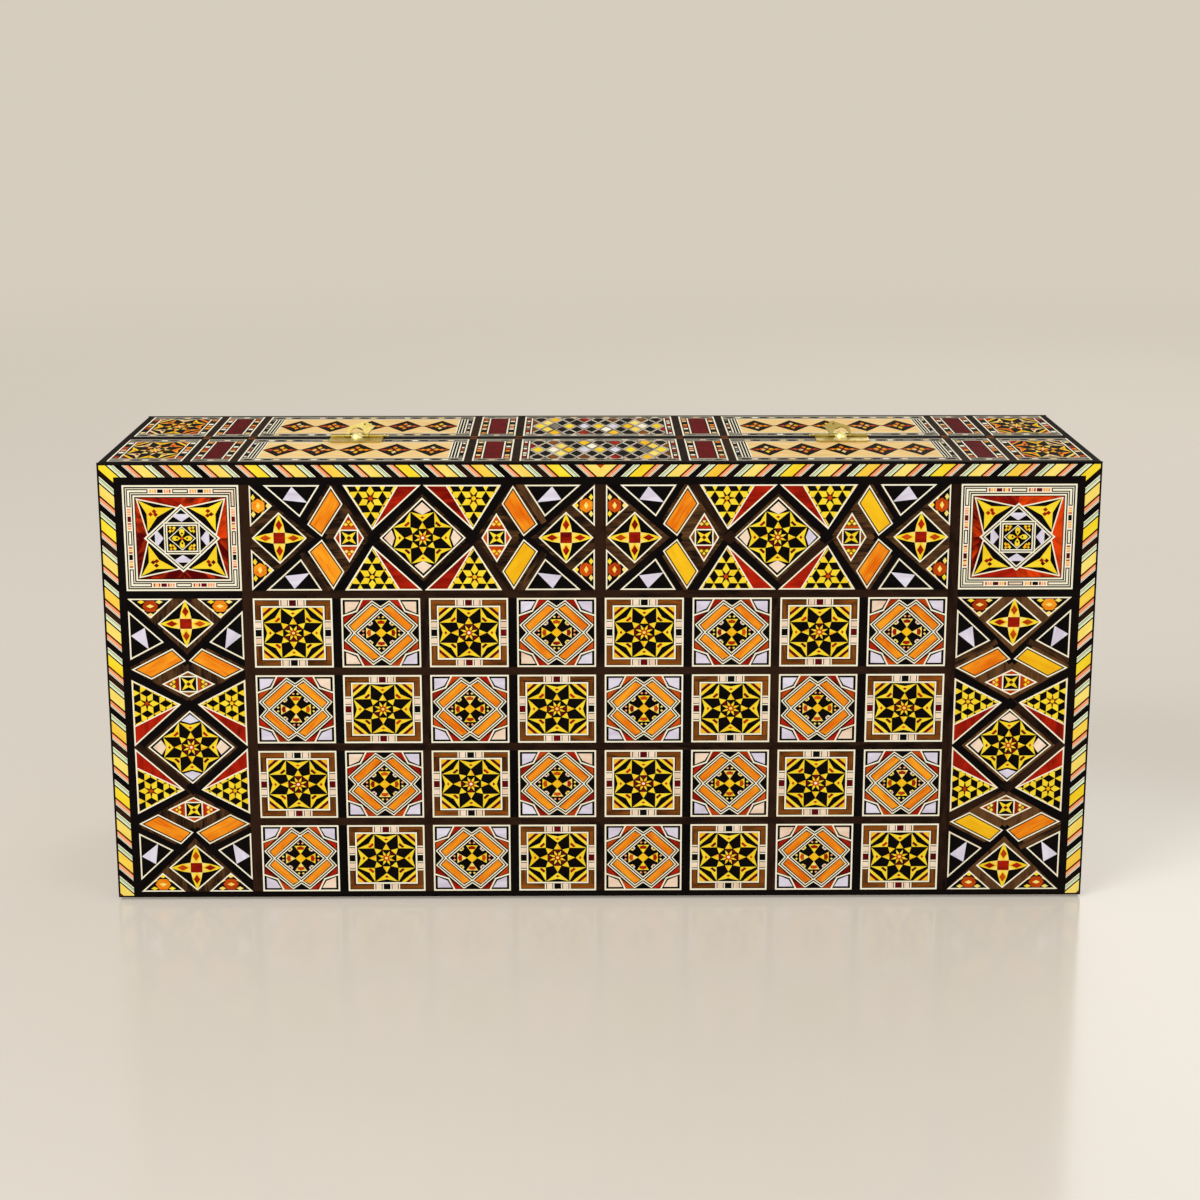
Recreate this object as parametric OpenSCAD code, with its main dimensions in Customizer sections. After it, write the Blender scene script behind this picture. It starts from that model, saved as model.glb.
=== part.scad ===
// Folding chess and backgammon box in marquetry. Two half trays are hinged along
// one long edge and stand on it, and two brass hasps close the seam on the top.
// Each outer face carries half a chessboard, and the whole board shows when the
// box is opened by half a turn.
// X runs along the box, Y from the front playing face to the rear one, Z is up.
// The origin is on the standing surface, under the middle of the box.
// Sizes are millimetres.

/* [Chess squares] */
// Width of one chess square
square_w = 39.8; // [32:0.1:48]
// Height of one chess square
square_h = 36; // [30:0.1:48]
// Width of the upright ground bars between squares
bar_w = 4.45; // [2:0.05:8]
// Height of the level ground bars between squares
bar_h = 4.1; // [2:0.05:8]
// Width of the plain frame round the field of a star square
square_frame = 4.4; // [2:0.1:6]

/* [Playing face] */
// Width of the corner tiles and of the side panels
panel_w = 57.8; // [45:0.1:70]
// Height of the corner tiles and of the band above the squares
band_h = 54; // [45:0.1:70]
// Ground between the squares and the side panels
panel_gap = 5.2; // [2:0.1:10]
// Ground between the squares and the band above them
band_gap = 4; // [2:0.1:10]
// Ground bar between the two band panels
mid_bar = 5.6; // [2:0.1:12]
// Ground under the lowest squares
foot_margin = 3.4; // [2:0.1:8]
// Width of the rope stringing at the sides
rope_w = 7; // [4:0.1:10]
// Height of the rope stringing along the top
rope_h = 6; // [4:0.1:10]
// Ground inside the rope stringing
rope_gap = 4; // [2:0.1:8]
// Dark arris outside the rope stringing
edge_w = 1.2; // [0.8:0.1:3]
// Frame of a corner tile
corner_frame = 6.6; // [3:0.1:12]

/* [Case] */
// Depth of one half, from its playing face to the seam
half_d = 73; // [50:0.5:90]
// Thickness of the four walls of a half
wall_t = 10; // [9:0.1:14]
// Thickness of the board behind the playing face
board_t = 6; // [3:0.1:12]
// Thickness of the marquetry on the faces and edges
veneer_t = 1.2; // [0.8:0.1:2.5]
// Thickness of the floor lining inside a tray
lining_t = 1.5; // [1:0.1:3]
// Gap between the two rims when the box is closed
seam_gap = 0.4; // [0.3:0.05:1]

/* [Top and ends] */
// Length of the star tiles on the top and ends
star_tile_l = 37.4; // [25:0.1:45]
// Length of the plain tiles on the top and ends
plain_tile_l = 19.6; // [12:0.1:30]
// Length of the lattice tile at the middle of the top
lattice_tile_l = 80.6; // [50:0.1:110]
// Ground bar between two tiles
tile_bar = 4.1; // [2:0.1:8]
// Ground between the corners of the box and the first tile
tile_margin = 4.3; // [2:0.1:8]
// Ground beside the tiles, towards the face and towards the seam
tile_side = 4.6; // [2:0.1:8]

/* [Backgammon floor] */
// Length of a backgammon point
point_l = 185; // [100:1:210]
// Flat strip left between a point's base and the wall
point_base = 3; // [1:0.5:10]
// Gap between two neighbouring points
point_gap = 2; // [1:0.1:5]

/* [Hinges] */
// Distance of each hinge from the middle of the box
hinge_x = 150; // [60:1:200]
// Length of a hinge
hinge_w = 40; // [30:1:70]
// Height of a hinge leaf above the hinge axis
leaf_h = 8.6; // [7:0.1:9]
// Thickness of a hinge leaf
leaf_t = 1.2; // [0.8:0.1:1.6]
// Diameter of the hinge barrel
barrel_d = 2.6; // [2.2:0.1:3.4]
// Diameter of the hinge pin
hinge_pin_d = 1.2; // [0.8:0.1:1.6]
// Radial running clearance of the hinge pin
hinge_fit = 0.03; // [0.01:0.01:0.1]
// Clearance between the barrel and whatever turns past it
barrel_room = 0.3; // [0.2:0.05:0.6]
// Height of the wood above the hinge axis
hinge_drop = 0.15; // [0.1:0.05:0.4]
// Gap between two knuckles along a pin
knuckle_gap = 0.2; // [0.1:0.05:0.4]

/* [Screws] */
// Diameter of a screw head
head_d = 3; // [2.4:0.1:3.6]
// Diameter of a screw shank
shank_d = 1.6; // [1.2:0.1:2]
// Length of a screw below its head
screw_l = 6.5; // [3:0.1:8]
// Clearance round a screw
screw_fit = 0.03; // [0.01:0.01:0.1]

/* [Hasps] */
// Distance of each hasp from the middle of the box
hasp_x = 127; // [60:1:200]
// Width of a hasp's leaf
hasp_leaf_w = 27.6; // [24:0.1:34]
// Length of a hasp's leaf in front of its barrel
hasp_leaf_l = 11.2; // [9:0.1:16]
// Thickness of a hasp's leaf
hasp_leaf_t = 1; // [0.6:0.1:1.2]
// Distance of the hasp's axis in front of the seam
hasp_back = 3.9; // [3.8:0.1:6]
// Height of the hasp's axis above the top of the box
hasp_up = 1.65; // [1.6:0.05:2.2]
// Diameter of the barrel tubes beside the hasp
tube_d = 2; // [1.8:0.1:2.6]
// Diameter of the hasp's own lugs
lug_d = 2.4; // [2.2:0.1:2.8]
// Diameter of the hasp's pin
hasp_pin_d = 1; // [0.8:0.1:1.2]
// Length by which the pin stands out of the inner tube
pin_out = 2.4; // [1:0.1:4]
// Diameter of the domed boss between the lugs
dome_d = 6.6; // [6:0.1:7]
// Height of the dome above the top of the box
dome_h = 3.5; // [3.2:0.1:3.8]
// Width of one lug
lug_w = 2.35; // [1.5:0.05:3]
// Thickness of the finger tab and of the loop
tab_t = 0.9; // [0.6:0.1:1.1]
// Length of the finger tab from the axis to its point
tab_l = 8; // [7:0.1:11]
// Slope of the finger tab when the hasp is closed
tab_slope = 60; // [45:1:75]
// Reach of the loop behind the seam
loop_reach = 4.4; // [4:0.1:7]
// Clearance between the hasp and what it turns past
hasp_room = 0.35; // [0.3:0.05:0.6]
// Diameter of the keeper's nub
nub_d = 2.2; // [1.6:0.1:2.6]
// Thickness of the keeper plate
keeper_t = 0.7; // [0.5:0.1:0.8]
// Width of the keeper plate
keeper_w = 13.4; // [11:0.1:18]
// Length of the keeper plate
keeper_l = 9; // [8:0.1:14]

/* [Hidden] */

cols = 8;
rows = 4;
points_per_end = 6;
knuckles = 5;
round_sides = 48;
cut = 1; // how far a cutter runs past the face that it cuts

// The face, in its own plane: x from the middle, z from its foot.
field_w = cols * square_w + (cols - 1) * bar_w;
field_h = rows * square_h + (rows - 1) * bar_h;
box_w = field_w + 2 * (panel_gap + panel_w + rope_gap + rope_w + edge_w);
box_h = foot_margin + field_h + band_gap + band_h + rope_gap + rope_h + edge_w;
band_z = foot_margin + field_h + band_gap;
band_w = (field_w - mid_bar) / 2;
panel_x = field_w / 2 + panel_gap;

// Heights and depths in the box.
axis_z = barrel_d / 2;
wood_z = axis_z + hinge_drop;
top_z = wood_z + box_h;
rim_y = seam_gap / 2;
board_y = half_d - veneer_t;
wall_y = board_y - board_t;
core_x = box_w / 2 - veneer_t;
core_h = box_h - veneer_t;
tray_x = core_x - wall_t;
tray_h = core_h - 2 * wall_t;

// Tiles along the top and the ends: [kind, start, length], from one corner.
tile_depth = half_d - tile_side - rim_y - tile_side;
top_chain_l = (box_w - 2 * tile_margin - 2 * star_tile_l - 4 * plain_tile_l - lattice_tile_l
               - 8 * tile_bar) / 2;
end_chain_l = box_h - 2 * tile_margin - 2 * star_tile_l - 2 * plain_tile_l - 4 * tile_bar;
top_lengths = [star_tile_l, plain_tile_l, top_chain_l, plain_tile_l, lattice_tile_l,
               plain_tile_l, top_chain_l, plain_tile_l, star_tile_l];
end_lengths = [star_tile_l, plain_tile_l, end_chain_l, plain_tile_l, star_tile_l];

// Hinge and hasp.
knuckle_l = (hinge_w - (knuckles - 1) * knuckle_gap) / knuckles;
leaf_screw_x = hinge_w / 4;
leaf_screw_z = axis_z + (leaf_h + barrel_d / 2 + barrel_room) / 2;
lug_x = dome_d / 2 + hasp_room + 0.1;
tube_x = lug_x + lug_w + hasp_room;
// The arms of the tab and of the loop are a little narrower than the lugs that they grow from.
arm_x = lug_x + 0.2;
arm_end = lug_x + lug_w - 0.2;
leaf_edge_y = hasp_back + lug_d / 2 + hasp_room;
leaf_screw_y = leaf_edge_y + hasp_leaf_l / 2;
leaf_side_x = hasp_leaf_w / 2 - 4;
// Sphere that gives a dome of the wanted width and height on the top of the box.
dome_r = ((dome_d / 2) * (dome_d / 2) + dome_h * dome_h) / (2 * dome_h);
nub_y = (loop_reach + rim_y + hasp_room) / 2;
keeper_y = rim_y + 0.5;
keeper_screw_x = keeper_w / 2 - 2.4;
keeper_screw_y = keeper_y + keeper_l - 2.2;

walnut = [0.24, 0.15, 0.09];
ebony = [0.06, 0.05, 0.05];
lemon = [0.93, 0.80, 0.24];
orange = [0.90, 0.52, 0.14];
flame = [0.45, 0.08, 0.04];
bone = [0.94, 0.91, 0.80];
pearl = [0.80, 0.77, 0.84];
cream = [0.86, 0.70, 0.42];
brass = [0.83, 0.68, 0.30];

// ---- helpers -------------------------------------------------------------

// Start of tile k in a run of tiles with a ground bar between them.
function tile_start(lengths, k) =
    k == 0 ? tile_margin : tile_start(lengths, k - 1) + lengths[k - 1] + tile_bar;

// Left edge of the square in a column, and foot of the square in a row counted from the top.
function square_x(col) = -field_w / 2 + col * (square_w + bar_w);
function square_z(row) = foot_margin + (rows - 1 - row) * (square_h + bar_h);

// Outline of a star: tips and valleys as shares of the half sizes.
function star_outline(n, tip, valley, turn, half_w, half_h) =
    [for (k = [0:2 * n - 1])
        let (r = k % 2 == 0 ? tip : valley, a = turn + k * 180 / n)
        [r * cos(a) * half_w, r * sin(a) * half_h]];

// Lays a shape drawn on the playing face into a layer of the front half.
module face_layer(outer_y, thickness)
    translate([0, -outer_y + thickness, wood_z])
        rotate([90, 0, 0])
            linear_extrude(thickness)
                children();

// Lays a shape drawn as (x, depth) into the veneer on the top of the front half.
module top_layer()
    translate([0, -half_d, top_z - veneer_t])
        linear_extrude(veneer_t)
            children();

// Lays a shape drawn as (height, depth) into the veneers of the two ends.
module end_layers()
    for (side = [-1, 1])
        translate([side > 0 ? box_w / 2 : -core_x, -half_d, wood_z])
            rotate([0, -90, 0])
                linear_extrude(veneer_t)
                    children();

// Turns a piece of the front half round to the rear half.
module turned() rotate([0, 0, 180]) children();

module centred(size) square(size, center = true);

module rhombus(half_w, half_h)
    polygon([[half_w, 0], [0, half_h], [-half_w, 0], [0, -half_h]]);

// ---- case of one half ----------------------------------------------------

module face_board()
    face_layer(board_y, board_t)
        translate([-core_x, 0]) square([2 * core_x, core_h]);

module wall(outline)
    face_layer(wall_y, wall_y - rim_y) polygon(outline);

module top_wall()
    wall([[-core_x, core_h], [-tray_x, core_h - wall_t], [tray_x, core_h - wall_t], [core_x, core_h]]);

module bottom_wall()
    difference() {
        wall([[-core_x, 0], [core_x, 0], [tray_x, wall_t], [-tray_x, wall_t]]);
        hinge_seats();
    }

module side_wall(side)
    wall([[side * core_x, 0], [side * core_x, core_h],
          [side * tray_x, core_h - wall_t], [side * tray_x, wall_t]]);

// Recess for the leaves, groove for the barrel and pilot holes, cut in the bottom wall.
module hinge_seats()
    for (side = [-1, 1])
        translate([side * hinge_x, 0, 0]) {
            translate([-hinge_w / 2 - screw_fit, -rim_y - leaf_t, wood_z - cut])
                cube([hinge_w + 2 * screw_fit, rim_y + leaf_t + cut, axis_z + leaf_h + screw_fit - wood_z + cut]);
            translate([-hinge_w / 2 - screw_fit, 0, axis_z])
                along_x(hinge_w + 2 * screw_fit, barrel_d / 2 + barrel_room);
            for (x = [-leaf_screw_x, leaf_screw_x])
                translate([x, -rim_y - leaf_t, leaf_screw_z])
                    rotate([90, 0, 0])
                        cylinder(h = screw_l + screw_fit, d = shank_d + 2 * screw_fit, $fn = round_sides);
        }

module along_x(length, radius)
    rotate([0, 90, 0]) cylinder(h = length, r = radius, $fn = round_sides);

// ---- marquetry of the playing face ---------------------------------------

module each_square(parity)
    for (row = [0:rows - 1], col = [0:cols - 1])
        if ((row + col) % 2 == parity)
            translate([square_x(col) + square_w / 2, square_z(row) + square_h / 2])
                children();

module each_corner()
    for (side = [-1, 1])
        translate([side * (panel_x + panel_w / 2), band_z + band_h / 2])
            children();

module each_band()
    for (side = [-1, 1])
        translate([side * (mid_bar + band_w) / 2, band_z + band_h / 2])
            children();

module each_side()
    for (side = [-1, 1])
        translate([side * (panel_x + panel_w / 2), foot_margin + field_h / 2])
            children();

module rope_outlines() {
    outer_x = box_w / 2 - edge_w;
    inner_x = outer_x - rope_w;
    outer_z = box_h - edge_w;
    inner_z = outer_z - rope_h;
    difference() {
        translate([-outer_x, edge_w]) square([2 * outer_x, outer_z - edge_w]);
        translate([-inner_x, edge_w - cut]) square([2 * inner_x, inner_z - edge_w + cut]);
    }
}

module face_ground()
    face_layer(half_d, veneer_t)
        difference() {
            translate([-box_w / 2, 0]) square([box_w, box_h]);
            for (parity = [0, 1]) each_square(parity) centred([square_w, square_h]);
            each_corner() centred([panel_w, band_h]);
            each_band() centred([band_w, band_h]);
            each_side() centred([panel_w, field_h]);
            rope_outlines();
        }

module rope_stringing() face_layer(half_d, veneer_t) rope_outlines();

// Eight-pointed star in a star square, inside the square's plain frame.
star_turn = 22.5;
module square_star_outline() {
    half_w = square_w / 2 - square_frame;
    half_h = square_h / 2 - square_frame;
    polygon(star_outline(8, 0.98, 0.58, star_turn, half_w, half_h));
}

module star_squares()
    face_layer(half_d, veneer_t)
        each_square(0)
            difference() {
                centred([square_w, square_h]);
                square_star_outline();
            }

module square_stars() face_layer(half_d, veneer_t) each_square(0) square_star_outline();

// Diamond in the middle of a diamond square, as a share of the square.
diamond_share = 0.71;
module square_diamond_outline() rhombus(diamond_share * square_w / 2, diamond_share * square_h / 2);

module diamond_squares()
    face_layer(half_d, veneer_t)
        each_square(1)
            difference() {
                centred([square_w, square_h]);
                square_diamond_outline();
            }

module square_diamonds() face_layer(half_d, veneer_t) each_square(1) square_diamond_outline();

// Rhombus of a corner tile.
corner_share = 0.7;
module corner_rhombus()
    rhombus(corner_share * (panel_w / 2 - corner_frame), corner_share * (band_h / 2 - corner_frame));

module corner_tiles()
    face_layer(half_d, veneer_t)
        each_corner()
            difference() {
                centred([panel_w, band_h]);
                corner_rhombus();
            }

// The five rhombi along a panel: [place, half length, half height], as shares of the
// panel's half length and half height.
panel_rhombi_row = [
    [-0.833, 0.160, 0.490], [-0.429, 0.088, 0.467], [0, 0.250, 0.763],
    [0.429, 0.088, 0.467], [0.833, 0.160, 0.490]];

module rhombi_along(length, height)
    for (r = panel_rhombi_row)
        translate([r[0] * length / 2, 0])
            rhombus(r[1] * length / 2, r[2] * height / 2);

module band_panels()
    face_layer(half_d, veneer_t)
        each_band()
            difference() {
                centred([band_w, band_h]);
                rhombi_along(band_w, band_h);
            }

module side_panels()
    face_layer(half_d, veneer_t)
        each_side()
            difference() {
                centred([panel_w, field_h]);
                rotate(90) rhombi_along(field_h, panel_w);
            }

module panel_rhombi()
    face_layer(half_d, veneer_t) {
        each_band() rhombi_along(band_w, band_h);
        each_side() rotate(90) rhombi_along(field_h, panel_w);
        each_corner() corner_rhombus();
    }

// ---- marquetry of the top and the ends -----------------------------------

module tile_run(lengths)
    for (k = [0:len(lengths) - 1])
        translate([tile_start(lengths, k), tile_side])
            square([lengths[k], tile_depth]);

module top_ground()
    top_layer()
        difference() {
            translate([-core_x, veneer_t]) square([2 * core_x, board_y - rim_y]);
            translate([-box_w / 2, 0]) tile_run(top_lengths);
        }

module top_tiles() top_layer() translate([-box_w / 2, 0]) tile_run(top_lengths);

module end_grounds()
    end_layers()
        difference() {
            translate([0, veneer_t]) square([box_h, board_y - rim_y]);
            tile_run(end_lengths);
        }

module end_tiles() end_layers() tile_run(end_lengths);

// ---- inside of a tray ----------------------------------------------------

// Six points from each short end of the tray.
module floor_point_outlines() {
    pitch = tray_h / points_per_end;
    for (side = [-1, 1], k = [0:points_per_end - 1])
        translate([side * (tray_x - point_base), wall_t + (k + 0.5) * pitch])
            polygon([[0, (point_gap - pitch) / 2], [0, (pitch - point_gap) / 2], [-side * point_l, 0]]);
}

module floor_lining()
    face_layer(wall_y, lining_t)
        difference() {
            translate([-tray_x, wall_t]) square([2 * tray_x, tray_h]);
            floor_point_outlines();
        }

module floor_points() face_layer(wall_y, lining_t) floor_point_outlines();

// ---- hinges --------------------------------------------------------------

// The leaf of one side. The rear leaf holds the first, third and fifth knuckle.
module hinge_leaf(side, first, fit) {
    leaf_foot = axis_z + barrel_d / 2 + barrel_room;
    face_y = side > 0 ? rim_y : -rim_y - leaf_t;
    difference() {
        union() {
            translate([-hinge_w / 2, face_y, leaf_foot])
                cube([hinge_w, leaf_t, axis_z + leaf_h - leaf_foot]);
            for (k = [first:2:knuckles - 1])
                translate([-hinge_w / 2 + k * (knuckle_l + knuckle_gap), 0, axis_z]) {
                    along_x(knuckle_l, barrel_d / 2);
                    translate([0, face_y, 0])
                        cube([knuckle_l, leaf_t, leaf_foot - axis_z + cut / 2]);
                }
        }
        translate([-hinge_w / 2 - cut, 0, axis_z])
            along_x(hinge_w + 2 * cut, hinge_pin_d / 2 + fit);
        for (x = [-leaf_screw_x, leaf_screw_x])
            translate([x, side * rim_y, leaf_screw_z])
                rotate([side * -90, 0, 0])
                    screw_hole(leaf_t);
    }
}

// Countersunk hole through a plate, from its face at z = 0 down into it.
module screw_hole(plate) {
    cylinder(h = plate, d1 = head_d + 2 * screw_fit, d2 = shank_d + 2 * screw_fit, $fn = round_sides);
    cylinder(h = plate + cut, d = shank_d + 2 * screw_fit, $fn = round_sides);
    translate([0, 0, -cut]) cylinder(h = cut, d = head_d + 2 * screw_fit, $fn = round_sides);
}

// Countersunk screw with a slotted head, from its face at z = 0 down.
module screw(plate) {
    slot_w = head_d / 7;
    difference() {
        union() {
            cylinder(h = plate, d1 = head_d, d2 = shank_d, $fn = round_sides);
            cylinder(h = plate + screw_l, d = shank_d, $fn = round_sides);
        }
        translate([-head_d, -slot_w / 2, -cut]) cube([2 * head_d, slot_w, cut + slot_w]);
    }
}

module both_hinges()
    for (side = [-1, 1])
        translate([side * hinge_x, 0, 0])
            children();

module hinge_screws(side)
    both_hinges()
        for (x = [-leaf_screw_x, leaf_screw_x])
            translate([x, side * rim_y, leaf_screw_z])
                rotate([side * -90, 0, 0])
                    screw(leaf_t);

// ---- hasps ---------------------------------------------------------------

// Places a hasp's piece on the top. The right one is the mirror image of the left.
module at_hasp(side)
    translate([side * hasp_x, 0, top_z])
        mirror([side > 0 ? 1 : 0, 0, 0])
            children();

module hasp_screw_spots()
    for (x = [-leaf_side_x, leaf_side_x])
        translate([x, -leaf_screw_y, hasp_leaf_t])
            rotate([180, 0, 0])
                children();

module keeper_screw_spots()
    for (x = [-keeper_screw_x, keeper_screw_x])
        translate([x, keeper_screw_y, keeper_t])
            rotate([180, 0, 0])
                children();

// Leaf with a barrel tube at each side and a domed boss between the hasp's lugs.
module hasp_leaf() {
    front_y = leaf_edge_y + hasp_leaf_l;
    half = hasp_leaf_w / 2;
    corner = hasp_leaf_l / 5;
    difference() {
        union() {
            linear_extrude(hasp_leaf_t)
                polygon([[-half, -leaf_edge_y], [-half, corner - front_y], [corner - half, -front_y],
                         [half - corner, -front_y], [half, corner - front_y], [half, -leaf_edge_y]]);
            for (side = [-1, 1])
                translate([side > 0 ? tube_x : -half, -leaf_edge_y, 0])
                    cube([half - tube_x, leaf_edge_y - hasp_back + tube_d / 4, hasp_leaf_t]);
            translate([-dome_d * 0.4, -leaf_edge_y - cut, 0])
                cube([dome_d * 0.8, leaf_edge_y - hasp_back + cut, hasp_leaf_t]);
            for (x = [-half, tube_x])
                translate([x, -hasp_back, hasp_up])
                    along_x(half - tube_x, tube_d / 2);
            intersection() {
                translate([0, -hasp_back, dome_h - dome_r]) sphere(r = dome_r, $fn = round_sides);
                translate([-dome_d, -hasp_back - dome_d, 0]) cube([2 * dome_d, 2 * dome_d, dome_h + cut]);
            }
        }
        translate([-half - cut, -hasp_back, hasp_up])
            along_x(hasp_leaf_w + 2 * cut, hasp_pin_d / 2 + hinge_fit);
        hasp_screw_spots() screw_hole(hasp_leaf_t);
    }
}

// Pin with a ball at its inner end.
module hasp_pin()
    translate([0, -hasp_back, hasp_up]) {
        translate([-hasp_leaf_w / 2, 0, 0]) along_x(hasp_leaf_w + pin_out, hasp_pin_d / 2);
        translate([hasp_leaf_w / 2 + pin_out, 0, 0]) sphere(d = hasp_pin_d * 1.5, $fn = round_sides);
    }

// Finger tab, drawn with the axis as its foot. Its point leans to the middle of the box,
// and its window has straight sides up to an arch over the dome.
module tab_outline() {
    shoulder = tab_l * 5 / 8;
    lean = tab_l * 0.4;
    arch_r = arm_x + hasp_room / 2;
    arch_y = dome_window_y - sqrt(arch_r * arch_r - arm_x * arm_x);
    difference() {
        polygon([[-arm_end, 0], [arm_end, 0], [arm_end, lug_d / 2 + hasp_room],
                 [arm_end + lean, shoulder], [lean * 1.4, tab_l], [-arm_end + lean / 2, shoulder]]);
        translate([-arm_x, -cut]) square([2 * arm_x, cut + dome_window_y]);
        intersection() {
            translate([0, arch_y]) circle(r = arch_r, $fn = round_sides);
            translate([-arm_x, dome_window_y - cut]) square([2 * arm_x, 2 * arch_r]);
        }
        translate([lean * 1.2, tab_l * 0.8]) circle(d = hasp_pin_d, $fn = round_sides);
    }
}
dome_window_y = tab_l * 0.2;

// Loop that reaches back over the seam, with a hole for the keeper's nub.
module loop_outline() {
    depth = hasp_back + loop_reach;
    bar = loop_reach - rim_y - hasp_room;
    difference() {
        translate([-arm_end, 0]) square([2 * arm_end, depth]);
        translate([-arm_x, -cut]) square([2 * arm_x, depth - bar + cut]);
        translate([0, hasp_back + nub_y]) circle(d = nub_d + 2 * hasp_room, $fn = round_sides);
    }
}

module hasp() {
    outer = lug_x + lug_w;
    translate([0, -hasp_back, hasp_up])
        difference() {
            union() {
                for (x = [-outer, lug_x])
                    translate([x, 0, 0]) along_x(lug_w, lug_d / 2);
                translate([0, 0, -tab_t / 2]) linear_extrude(tab_t) loop_outline();
                rotate([tab_slope, 0, 0])
                    translate([0, 0, -tab_t / 2]) linear_extrude(tab_t) tab_outline();
            }
            translate([-outer - cut, 0, 0]) along_x(2 * outer + 2 * cut, hasp_pin_d / 2 + hinge_fit);
        }
}

// Keeper plate behind the seam, with a nub that stands in the hasp's loop.
module keeper()
    difference() {
        union() {
            translate([-keeper_w / 2, keeper_y, 0]) cube([keeper_w, keeper_l, keeper_t]);
            translate([0, nub_y, 0]) cylinder(h = hasp_up, d = nub_d, $fn = round_sides);
            translate([0, nub_y, hasp_up]) sphere(d = nub_d, $fn = round_sides);
        }
        keeper_screw_spots() screw_hole(keeper_t);
    }

module hasp_pilots(side)
    at_hasp(side) hasp_screw_spots()
        cylinder(h = screw_l + hasp_leaf_t + screw_fit, d = shank_d + 2 * screw_fit, $fn = round_sides);

module keeper_pilots(side)
    at_hasp(side) keeper_screw_spots()
        cylinder(h = screw_l + keeper_t + screw_fit, d = shank_d + 2 * screw_fit, $fn = round_sides);

// Takes the pilot holes of both hasps, or of both keepers, out of a piece.
module drilled_for_hasps()
    difference() {
        children();
        for (side = [-1, 1]) hasp_pilots(side);
    }

module drilled_for_keepers()
    difference() {
        children();
        for (side = [-1, 1]) keeper_pilots(side);
    }

// ---- front half ----------------------------------------------------------

module front_face_board() color(walnut) face_board();
module front_top_wall() color(walnut) drilled_for_hasps() top_wall();
module front_bottom_wall() color(walnut) bottom_wall();
module front_left_wall() color(walnut) side_wall(-1);
module front_right_wall() color(walnut) side_wall(1);
module front_face_ground() color(ebony) face_ground();
module front_star_squares() color(lemon) star_squares();
module front_square_stars() color(ebony) square_stars();
module front_diamond_squares() color(orange) diamond_squares();
module front_square_diamonds() color(pearl) square_diamonds();
module front_corner_tiles() color(flame) corner_tiles();
module front_band_panels() color(orange) band_panels();
module front_side_panels() color(orange) side_panels();
module front_panel_rhombi() color(lemon) panel_rhombi();
module front_rope_stringing() color(lemon) rope_stringing();
module front_top_ground() color(ebony) drilled_for_hasps() top_ground();
module front_top_tiles() color(cream) drilled_for_hasps() top_tiles();
module front_end_grounds() color(ebony) end_grounds();
module front_end_tiles() color(cream) end_tiles();
module front_floor_lining() color(walnut) floor_lining();
module front_floor_points() color(bone) floor_points();

// ---- rear half -----------------------------------------------------------

module rear_face_board() color(walnut) turned() face_board();
module rear_top_wall() color(walnut) drilled_for_keepers() turned() top_wall();
module rear_bottom_wall() color(walnut) turned() bottom_wall();
module rear_left_wall() color(walnut) turned() side_wall(1);
module rear_right_wall() color(walnut) turned() side_wall(-1);
module rear_face_ground() color(ebony) turned() face_ground();
module rear_star_squares() color(lemon) turned() star_squares();
module rear_square_stars() color(ebony) turned() square_stars();
module rear_diamond_squares() color(orange) turned() diamond_squares();
module rear_square_diamonds() color(pearl) turned() square_diamonds();
module rear_corner_tiles() color(flame) turned() corner_tiles();
module rear_band_panels() color(orange) turned() band_panels();
module rear_side_panels() color(orange) turned() side_panels();
module rear_panel_rhombi() color(lemon) turned() panel_rhombi();
module rear_rope_stringing() color(lemon) turned() rope_stringing();
module rear_top_ground() color(ebony) drilled_for_keepers() turned() top_ground();
module rear_top_tiles() color(cream) drilled_for_keepers() turned() top_tiles();
module rear_end_grounds() color(ebony) turned() end_grounds();
module rear_end_tiles() color(cream) turned() end_tiles();
module rear_floor_lining() color(walnut) turned() floor_lining();
module rear_floor_points() color(bone) turned() floor_points();

// ---- brass ---------------------------------------------------------------

module front_hinge_leaves() color(brass) both_hinges() hinge_leaf(-1, 1, hinge_fit);
module rear_hinge_leaves() color(brass) both_hinges() hinge_leaf(1, 0, hinge_fit);
module hinge_pins()
    color(brass) both_hinges()
        translate([-hinge_w / 2, 0, axis_z]) along_x(hinge_w, hinge_pin_d / 2);
module front_hinge_screws() color(brass) hinge_screws(-1);
module rear_hinge_screws() color(brass) hinge_screws(1);
module left_hasp_leaf() color(brass) at_hasp(-1) hasp_leaf();
module right_hasp_leaf() color(brass) at_hasp(1) hasp_leaf();
module left_hasp_pin() color(brass) at_hasp(-1) hasp_pin();
module right_hasp_pin() color(brass) at_hasp(1) hasp_pin();
module left_hasp() color(brass) at_hasp(-1) hasp();
module right_hasp() color(brass) at_hasp(1) hasp();
module left_keeper() color(brass) at_hasp(-1) keeper();
module right_keeper() color(brass) at_hasp(1) keeper();
module hasp_leaf_screws()
    color(brass) for (side = [-1, 1]) at_hasp(side) hasp_screw_spots() screw(hasp_leaf_t);
module keeper_screws()
    color(brass) for (side = [-1, 1]) at_hasp(side) keeper_screw_spots() screw(keeper_t);

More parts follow.
